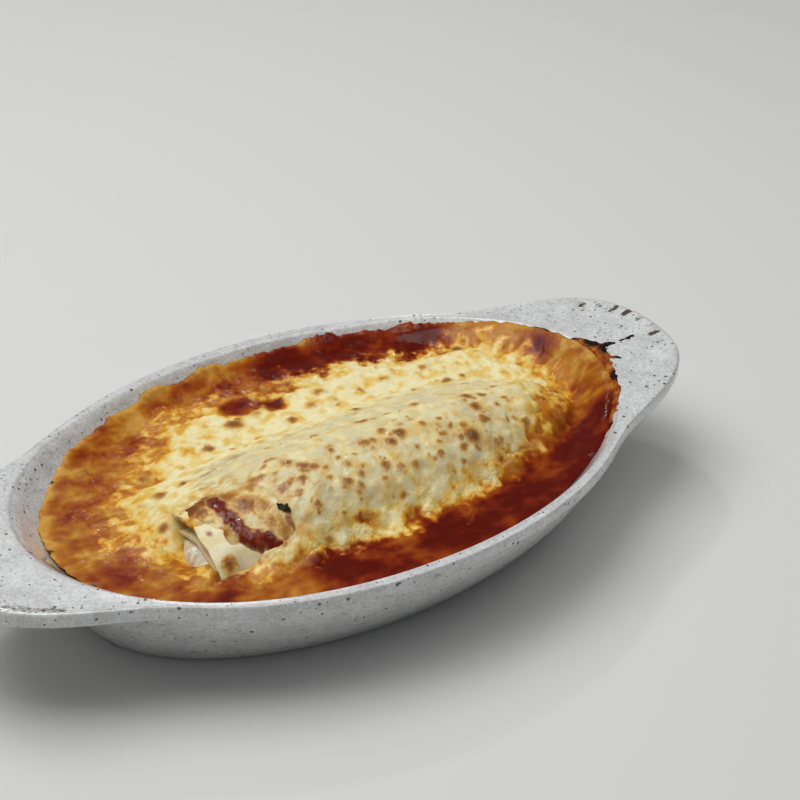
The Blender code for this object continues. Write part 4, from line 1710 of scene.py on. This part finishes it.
@dataclass
class Cheese:
    """Melted mozzarella over the roll and the sauce, with toasted blisters.

    Attributes:
        food: Where everything lies.
        buried: How far past its edge the layer runs on under the sauce.
        step: Distance between its vertices.
    """

    food: FoodMap
    buried: float = 1.8
    step: float = 0.60

    def place(self) -> Piece:
        """Build, paint and mount the cheese.

        Returns:
            The finished cheese.
        """
        skin = Skin("melted_cheese", (-74.0, -44.0), (90.0, 58.0), self.step,
                    lambda x, y: self.food.cheese_lies(x, y) + self.buried, self.food.cheese_top, 0.5, 60)
        piece = skin.build()
        self.food.paint_all(piece)
        Tool.dress(piece, BakedTop("melted_mozzarella", scatter=0.22, gloss=(0.20, 0.46)).make())
        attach(piece, ROOT)
        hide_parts("cheese")
        return piece


@dataclass
class PastaSheet:
    """The sheet of pasta, rolled up one and a half times round its filling.

    Attributes:
        roll: The roll's form.
        thick: Thickness of the sheet.
        start: Turn at which the inner edge lies, in degrees.
        end: Turn at which the outer edge lies.
        inner: How far out the inner lap lies, as a share of the outer.
        lean: How far the inner lap leans to the near side, against the outer.
        cells: Cells of the sheet round the roll and along it.
        stains: Sauce that soaked into the bare end: place, radius, strength.
        stained_from: Height from which the sheet is stained.
    """

    roll: Roll
    thick: float = 1.3
    start: float = 20.0
    end: float = 590.0
    inner: float = 0.745
    lean: float = 2.6
    cells: tuple[int, int] = (230, 80)
    stains: tuple[Spot, ...] = ((-50.3, -20.9, 0.9, 1.0), (-47.6, -30.5, 3.0, 0.35))
    stained_from: float = 24.0

    def build(self) -> Piece:
        """Roll a flat sheet up and give it its thickness.

        Returns:
            The finished sheet.
        """
        piece = Tool.grid("pasta_sheet", self.cells)
        places = Tool.places(piece)
        round_share = 0.5 * (places[:, 0] + 1.0)
        along = np.clip(0.5 * (places[:, 1] + 1.0), 0.0, 1.0) ** 1.8
        turn = np.radians(self.start + (self.end - self.start) * round_share)
        ragged = 0.7 * Lumps(0.9, 3, seed=301).at(turn, np.zeros_like(turn))
        x = self.roll.start + 0.4 + ragged * (1.0 - along) ** 8 + (self.roll.end - self.roll.start - 0.4) * along
        wide, tall = self.roll.halves(x)
        share = self.inner + (1.0 - self.inner) * smooth(math.radians(230.0), math.radians(330.0), turn)
        ripple = 0.22 * Lumps(9.0, 2, seed=303).at(x, 14.0 * turn)
        tuck = 1.0 - 0.30 * smooth(self.roll.end - 14.0, self.roll.end, x)
        lean = self.lean * (1.0 - share) / (1.0 - self.inner)
        y = self.roll.middle(x) + (wide * share * tuck + ripple) * np.cos(turn) - lean
        z = self.roll.bottom + tall + (tall * share * tuck + ripple) * np.sin(turn)
        Tool.move(piece, np.stack((x, y, z), axis=1))
        Tool.take(piece)
        bpy.ops.object.mode_set(mode="EDIT")
        bpy.ops.mesh.select_all(action="SELECT")
        bpy.ops.mesh.normals_make_consistent(inside=False)
        bpy.ops.object.mode_set(mode="OBJECT")
        Tool.apply_modifier(piece, "SOLIDIFY", thickness=self.thick * MM, offset=self._inward(piece), use_rim=True)
        Tool.apply_modifier(piece, "BEVEL", width=0.25 * MM, segments=2, limit_method="ANGLE",
                            angle_limit=math.radians(50.0))
        return piece

    def _inward(self, piece: Piece) -> float:
        """Side of the sheet that faces the roll's axis, for the thickness to grow to.

        Args:
            piece: The rolled sheet, still without a thickness.

        Returns:
            1 or -1, the modifier's offset.
        """
        mesh = piece.data
        face = mesh.polygons[len(mesh.polygons) // 2]
        middle = face.center
        axis_y = float(self.roll.middle(middle.x / MM)) * MM
        _, tall = self.roll.halves(np.float64(middle.x / MM))
        outward = Vector((0.0, middle.y - axis_y, middle.z - (self.roll.bottom + float(tall)) * MM))
        return -1.0 if face.normal.dot(outward) > 0.0 else 1.0

    def place(self) -> Piece:
        """Build, paint and mount the pasta.

        Returns:
            The finished sheet.
        """
        piece = self.build()
        x, y, z = Tool.places(piece).T
        stain = domes(self.stains, x, y, 3.0)
        Tool.paint(piece, "stain", np.where(z > self.stained_from, stain, 0.0))
        Tool.dress(piece, CookedPasta().make(), 60.0)
        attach(piece, ROOT)
        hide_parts("pasta")
        return piece


@dataclass
class Filling:
    """Ricotta core that runs through the roll and shows in its open mouth.

    Attributes:
        roll: The roll's form.
        share: How far out it reaches, as a share of the roll.
        inset: How far it stays back from both ends.
        lean: How far it leans to the near side, as the inner lap does.
        bulge: How far it swells out of the mouth.
    """

    roll: Roll
    share: float = 0.635
    inset: float = 0.5
    lean: float = 2.6
    bulge: float = 3.2

    def build(self) -> Piece:
        """Stretch a ball into a long core and crumble its surface.

        Returns:
            The finished filling.
        """
        Tool.clear_selection()
        bpy.ops.mesh.primitive_uv_sphere_add(segments=96, ring_count=128, radius=MM,
                                             rotation=(0.0, math.pi / 2.0, 0.0))
        bpy.ops.object.transform_apply(location=False, rotation=True, scale=False)
        piece = Tool.added("ricotta_filling")
        ball = Tool.places(piece)
        turn = np.arctan2(ball[:, 2], ball[:, 1])
        along = np.sign(ball[:, 0]) * (1.0 - np.sqrt(np.maximum(1.0 - ball[:, 0] ** 2, 0.0))) ** 0.8
        half = 0.5 * (self.roll.end - self.roll.start) - self.inset
        x = 0.5 * (self.roll.end + self.roll.start) + half * along
        full = np.maximum(1.0 - np.abs(along) ** 24, 0.0) ** 0.5
        wide, tall = self.roll.halves(x)
        lumps = 0.5 * Lumps(5.0, 3, seed=401).at(x + 3.0 * turn, 9.0 * np.sin(turn) + x)
        tuck = 1.0 - 0.35 * smooth(self.roll.end - 16.0, self.roll.end, x)
        y = self.roll.middle(x) - self.lean + (wide * self.share * tuck + lumps) * full * np.cos(turn)
        z = self.roll.bottom + tall + (tall * self.share * tuck + lumps) * full * np.sin(turn)
        curds = 0.9 * Lumps(3.0, 3, seed=402).at(y, z) * (np.abs(along) > 0.9)
        curds = curds - self.bulge * (1.0 - full ** 4) * (along < 0.0)
        Tool.move(piece, np.stack((x + curds, y, z), axis=1))
        return piece

    def place(self) -> Piece:
        """Build, dress and mount the filling.

        Returns:
            The finished filling.
        """
        piece = self.build()
        Tool.dress(piece, Ricotta().make())
        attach(piece, ROOT)
        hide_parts("filling")
        return piece


@dataclass
class Topping:
    """Dark sauce spooned on the roll beside its mouth.

    Attributes:
        food: Where everything lies.
        streak: Course of the reddest part.
        strand: Course of a thin red strand below the leaf.
        browned: Browned and olive lumps beside the streak.
        drops: Drops that ran down over the bare pasta: place and radius.
        buried: How far past its edge the layer runs on under what is round it.
    """

    food: FoodMap
    streak: Course = (
        (-43.5, -10.9), (-43.9, -16.6), (-43.5, -21.3), (-42.5, -25.3), (-40.7, -28.0), (-37.8, -29.4),
        (-35.8, -31.6), (-34.9, -33.8))
    strand: Course = ((-29.4, -26.1), (-29.9, -28.5), (-29.3, -30.5), (-30.0, -33.0))
    browned: tuple[Spot, ...] = (
        (-50.0, -9.5, 4.4, 1.0), (-45.0, -8.5, 4.2, 0.95), (-48.6, -13.2, 3.0, 0.8), (-38.0, -18.0, 3.8, 0.8),
        (-40.0, -12.5, 3.6, 0.7), (-46.8, -23.0, 2.4, 0.72), (-34.0, -21.0, 2.8, 0.55), (-31.5, -29.0, 3.0, 0.6),
        (-34.0, -26.0, 2.4, 0.5), (-38.5, -33.5, 2.2, 0.6), (-30.0, -16.0, 2.4, 0.5))
    drops: tuple[Triple, ...] = ((-49.4, -30.0, 2.0),)
    buried: float = 1.4

    def inside(self, x: Array, y: Array) -> Array:
        """Millimetres inside the dark sauce or the drops that ran from it."""
        return np.maximum(self.body(x, y), self.dripped(x, y))

    def body(self, x: Array, y: Array) -> Array:
        """Millimetres inside the dark sauce itself."""
        return np.minimum(self.food.dark_lies(x, y), x - self.food.roll.start - 1.5)

    def dripped(self, x: Array, y: Array) -> Array:
        """Millimetres inside the drops.

        Args:
            x: Places along.
            y: Places across.

        Returns:
            Distances, negative outside them.
        """
        ragged = 0.4 * Lumps(2.0, 2, seed=509).at(x, y)
        within = [radius - np.hypot(x - drop_x, y - drop_y) for drop_x, drop_y, radius in self.drops]
        return np.max(within, axis=0) + ragged

    def top(self, x: Array, y: Array) -> Array:
        """Height of the dark sauce's upper side; outside its edge it dips out of sight.

        Args:
            x: Places along.
            y: Places across.

        Returns:
            Heights in millimetres.
        """
        inside = self.inside(x, y)
        pulp = 0.22 * Lumps(2.4, 3, seed=502).at(x, y) + 0.45 * self.redness(x, y) + 0.3 * self.brownness(x, y)
        roll = self.food.roll.top(np.maximum(x, self.food.roll.start + 0.3), y, 0.10)
        bed = np.maximum(roll, self.food.sauce_top(x, y) - 0.6)
        rise = (0.75 + pulp) * smooth(-0.3, 2.4, self.body(x, y)) + 0.3 * smooth(0.0, 1.4, self.dripped(x, y))
        return bed + rise - 0.8 * smooth(0.0, -1.4, inside)

    def redness(self, x: Array, y: Array) -> Array:
        """How red and wet it is, highest along the streak.

        Args:
            x: Places along.
            y: Places across.

        Returns:
            Shares from 0 to 1.
        """
        ragged = 0.7 * Lumps(2.6, 3, seed=503).at(x, y)
        main = smooth(2.9, 1.3, away_from(self.streak, x, y) + ragged)
        return np.maximum(main, 0.8 * smooth(1.3, 0.5, away_from(self.strand, x, y) + 0.4 * ragged))

    def brownness(self, x: Array, y: Array) -> Array:
        """How browned it is beside the streak.

        Args:
            x: Places along.
            y: Places across.

        Returns:
            Shares from 0 to 1.
        """
        bent = 0.9 * Lumps(3.0, 3, seed=506).at(x, y)
        drops = [(*drop, 0.78) for drop in self.drops]
        return domes([*self.browned, *drops], x + bent, y - bent, 2.6)

    def place(self) -> Piece:
        """Build, paint and mount the dark sauce.

        Returns:
            The finished topping.
        """
        skin = Skin("dark_sauce_topping", (-62.0, -40.0), (-20.0, 4.0), 0.35,
                    lambda x, y: self.inside(x, y) + self.buried, self.top, 0.35)
        piece = skin.build()
        x, y, _ = Tool.places(piece).T
        red = self.redness(x, y)
        brown = self.brownness(x, y) * (1.0 - red)
        creamy = 0.80 + 0.30 * Lumps(3.4, 3, seed=504).at(x, y)
        golden = 0.42 * smooth(-0.3, 0.6, Lumps(3.6, 3, seed=507).at(x, y))
        own = {"cover": (creamy - 0.75 * brown) * (1.0 - red),
               "crust": 0.22 + 0.45 * brown + 0.15 * Lumps(3.0, 3, seed=505).at(x, y),
               "toast": np.maximum(golden, 0.95 * brown) * (1.0 - red),
               "veil": 0.5 * smooth(-8.0, 0.0, -6.0 - y) * (1.0 - brown) * (1.0 - red),
               "sheer": 0.35 * smooth(0.0, 0.7, Lumps(2.4, 3, seed=508, stretch=2.0).at(x, y)),
               "char": np.zeros_like(x)}
        beside = smooth(-44.0, -40.0, x + 0.4 * (y + 12.0)) * smooth(6.0, 0.5, self.food.dark_lies(x, y))
        beside = beside * (1.0 - np.maximum(red, 0.7 * brown))
        for name, values in own.items():
            Tool.paint(piece, name, values + beside * (getattr(self.food, name)(x, y) - values))
        Tool.paint(piece, "wet", 0.45 + 0.55 * np.maximum(red, brown))
        Tool.dress(piece, BakedTop("dark_tomato_sauce", scatter=0.08, gloss=(0.10, 0.40), froth=0.45).make())
        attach(piece, ROOT)
        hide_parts("sauce_topping")
        return piece


@dataclass
class BurntSpills:
    """Sauce that boiled over the far rim and burnt on to it.

    Attributes:
        dish: The finished dish that it lies on.
        strokes: Courses of the spills: points, each with the half width of the run to the next.
        burns: Burnt places: place, radius, strength.
        darkest: The most that any place is burnt.
        thick: How thick the crust is.
        step: Distance between its vertices.
    """

    dish: Piece
    strokes: tuple[tuple[Triple, ...], ...] = (
        ((90.0, 9.0, 1.4), (93.5, 4.0, 2.6), (96.3, -1.0, 3.0), (95.0, -7.0, 2.7), (91.5, -13.0, 2.7),
         (88.5, -19.0, 2.8), (84.0, -25.5, 2.2), (79.5, -30.5, 1.4), (75.0, -34.5, 0.0)),
        ((97.0, -2.5, 1.3), (102.5, -4.2, 0.8), (107.5, -4.6, 0.5), (110.0, -4.2, 0.0)),
        ((96.0, -9.0, 1.1), (98.6, -12.0, 0.0)), ((73.0, -36.6, 0.7), (75.0, -36.0, 0.0)))
    burns: tuple[Spot, ...] = (
        (93.0, 5.0, 3.0, 0.8), (97.6, 0.0, 3.6, 1.0), (98.5, -5.5, 3.4, 1.0), (105.0, -4.4, 6.0, 1.0),
        (98.6, -12.0, 2.2, 0.9), (91.5, -19.5, 3.4, 0.95), (74.0, -36.5, 2.0, 1.0))
    darkest: float = 0.76
    thick: float = 0.6
    step: float = 0.30

    def inside(self, x: Array, y: Array) -> Array:
        """Millimetres inside the spills' ragged edge.

        Args:
            x: Places along.
            y: Places across.

        Returns:
            Distances, negative outside them.
        """
        ragged = 0.7 * Lumps(3.4, 2, seed=601, keep=0.5).at(x, y)
        best = np.full_like(x, -9.0)
        for stroke in self.strokes:
            for start, end in zip(stroke, stroke[1:]):
                best = np.maximum(best, start[2] - away_from((start[:2], end[:2]), x, y))
        return best + ragged

    def top(self, x: Array, y: Array) -> Array:
        """Height of the crust, found by dropping a line on to the dish.

        Args:
            x: Places along.
            y: Places across.

        Returns:
            Heights in millimetres.
        """
        down = Vector((0.0, 0.0, -1.0))
        heights = np.zeros_like(x)
        for row, (place_x, place_y) in enumerate(zip(x, y)):
            found, spot, _, _ = self.dish.ray_cast(Vector((place_x, place_y, 60.0)) * MM, down)
            heights[row] = spot.z / MM if found else 0.0
        swell = smooth(-0.3, 1.6, self.inside(x, y))
        return heights - 0.12 + self.thick * swell * (1.0 + 0.5 * Lumps(1.2, 2, seed=602).at(x, y))

    def place(self) -> Piece:
        """Build, paint and mount the spills.

        Returns:
            The finished crust.
        """
        skin = Skin("burnt_spill", (72.0, -40.0), (114.0, 14.0), self.step,
                    lambda x, y: self.inside(x, y) + 0.25, self.top, 0.25, 12)
        piece = skin.build()
        x, y, _ = Tool.places(piece).T
        lumps = Lumps(3.2, 3, seed=603, keep=0.65).at(x, y)
        outer = smooth(1.4, 0.2, self.inside(x, y))
        burnt = np.clip(domes(self.burns, x + 0.8 * lumps, y, 3.0) + 0.3 * outer * (0.6 + lumps), 0.0, self.darkest)
        own = {"cover": 0.18 * np.maximum(lumps, 0.0), "crust": 0.55 + 0.35 * lumps, "char": burnt, "wet": 0.4}
        for name in PAINTED:
            Tool.paint(piece, name, own.get(name, 0.0) + np.zeros_like(x))
        Tool.dress(piece, BakedTop("burnt_tomato_sauce", scatter=0.0).make())
        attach(piece, ROOT)
        return piece


@dataclass
class HerbFlake:
    """Fleck of leaf on the dark sauce.

    Attributes:
        topping: The sauce that it lies on.
        middle: Its place.
        half: Half its length and half its width.
        turn: How it is turned, in degrees.
        cells: Cells along and across it.
        thick: Its thickness.
        stands: How far it stands off what it lies on.
    """

    topping: Topping
    middle: Pair = (-29.6, -25.0)
    half: Pair = (2.1, 0.9)
    turn: float = -62.0
    cells: tuple[int, int] = (24, 14)
    thick: float = 0.22
    stands: float = 0.55

    def place(self) -> Piece:
        """Build, dress and mount the fleck.

        Returns:
            The finished leaf.
        """
        piece = Tool.grid("herb_leaf_flake", self.cells)
        places = Tool.places(piece)
        along = places[:, 0]
        across = places[:, 1] * (1.0 - 0.85 * np.abs(along) ** 2.2) * (1.0 + 0.18 * np.sin(9.0 * along))
        cos, sin = math.cos(math.radians(self.turn)), math.sin(math.radians(self.turn))
        x = self.middle[0] + self.half[0] * along * cos - self.half[1] * across * sin
        y = self.middle[1] + self.half[0] * along * sin + self.half[1] * across * cos
        curl = 0.35 * np.sin(3.0 * along) + 0.30 * across ** 2
        bed = np.maximum(self.topping.top(x, y), self.topping.food.cheese_top(x, y))
        Tool.move(piece, np.stack((x, y, bed + self.stands + curl), axis=1))
        Tool.apply_modifier(piece, "SOLIDIFY", thickness=self.thick * MM, offset=-1.0)
        Tool.dress(piece, HerbLeaf().make(), 60.0)
        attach(piece, ROOT)
        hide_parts("herb_flake")
        return piece


@dataclass(frozen=True)
class Studio:
    """Plain floor, soft light and the photo's view.

    Attributes:
        azimuth: Where the camera stands round the dish, in degrees.
        elevation: How high it stands, in degrees.
        distance: How far it is from what it looks at, in millimetres.
        target: The point in the middle of the picture.
        focal: Focal length for a 36 mm wide sensor.
        lamps: Name, place, size and power of each lamp.
        sky: Colour of the light that comes from all round.
    """

    azimuth: float = -34.02
    elevation: float = 31.22
    distance: float = 533.5
    target: Triple = (32.5, 11.5, 30.0)
    focal: float = 79.82
    lamps: tuple[tuple[str, Triple, float, float], ...] = (
        ("key_softbox", (-250.0, 280.0, 1100.0), 900.0, 10.5),
        ("fill_softbox", (300.0, -350.0, 1200.0), 700.0, 2.4),
        ("ceiling_lamp", (250.0, 900.0, 1000.0), 90.0, 1.5))
    sky: str = "#f2f4f7"

    def camera(self) -> None:
        """Stand the camera where the photo's was."""
        data = bpy.data.cameras.new("photo_camera")
        data.lens = self.focal
        data.sensor_width = 36.0
        camera = bpy.data.objects.new("photo_camera", data)
        bpy.context.scene.collection.objects.link(camera)
        turn, tilt = math.radians(self.azimuth), math.radians(self.elevation)
        back = Vector((math.sin(turn) * math.cos(tilt), -math.cos(turn) * math.cos(tilt), math.sin(tilt)))
        camera.location = (Vector(self.target) + self.distance * back) * MM
        camera.rotation_euler = (-back).to_track_quat("-Z", "Y").to_euler()
        bpy.context.scene.camera = camera

    def light(self) -> None:
        """Hang two softboxes over the dish and a lamp behind it, in a faint even light."""
        world = bpy.data.worlds.new("soft_room")
        world.use_nodes = True
        background = world.node_tree.nodes["Background"]
        background.inputs["Color"].default_value = srgb(self.sky)
        background.inputs["Strength"].default_value = 0.20
        bpy.context.scene.world = world
        for name, place, size, power in self.lamps:
            data = bpy.data.lights.new(name, "AREA")
            data.shape = "SQUARE"
            data.size = size * MM
            data.energy = power
            lamp = bpy.data.objects.new(name, data)
            lamp.location = Vector(place) * MM
            lamp.rotation_euler = (-Vector(place)).to_track_quat("-Z", "Y").to_euler()
            bpy.context.scene.collection.objects.link(lamp)

    def floor(self) -> None:
        """Lay the pale sweep under the dish."""
        Tool.clear_selection()
        bpy.ops.mesh.primitive_plane_add(size=6.0, location=(0.0, 0.0, -0.0002))
        sweep = bpy.context.object
        sweep.name = "studio_floor"
        bpy.ops.object.transform_apply(location=True)
        Tool.dress(sweep, StudioFloor().make())

    def build(self) -> None:
        """Set the whole studio up."""
        bpy.context.scene.view_settings.view_transform = "Standard"
        self.camera()
        self.light()
        self.floor()


def main() -> None:
    """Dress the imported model, piece by piece."""
    logging.basicConfig(level=logging.INFO, format="%(name)s: %(message)s")
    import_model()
    food = FoodMap(Bowl(), Roll())
    topping = Topping(food)
    dish = GratinDish(food.bowl).place()
    makers = (Sauce(food), Cheese(food), PastaSheet(food.roll), Filling(food.roll), topping, HerbFlake(topping),
              BurntSpills(dish))
    for piece in (dish, *(maker.place() for maker in makers)):
        LOG.info("%s: %d faces", piece.name, len(piece.data.polygons))
    Studio().build()
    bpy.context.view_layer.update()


if __name__ == "__main__":
    main()
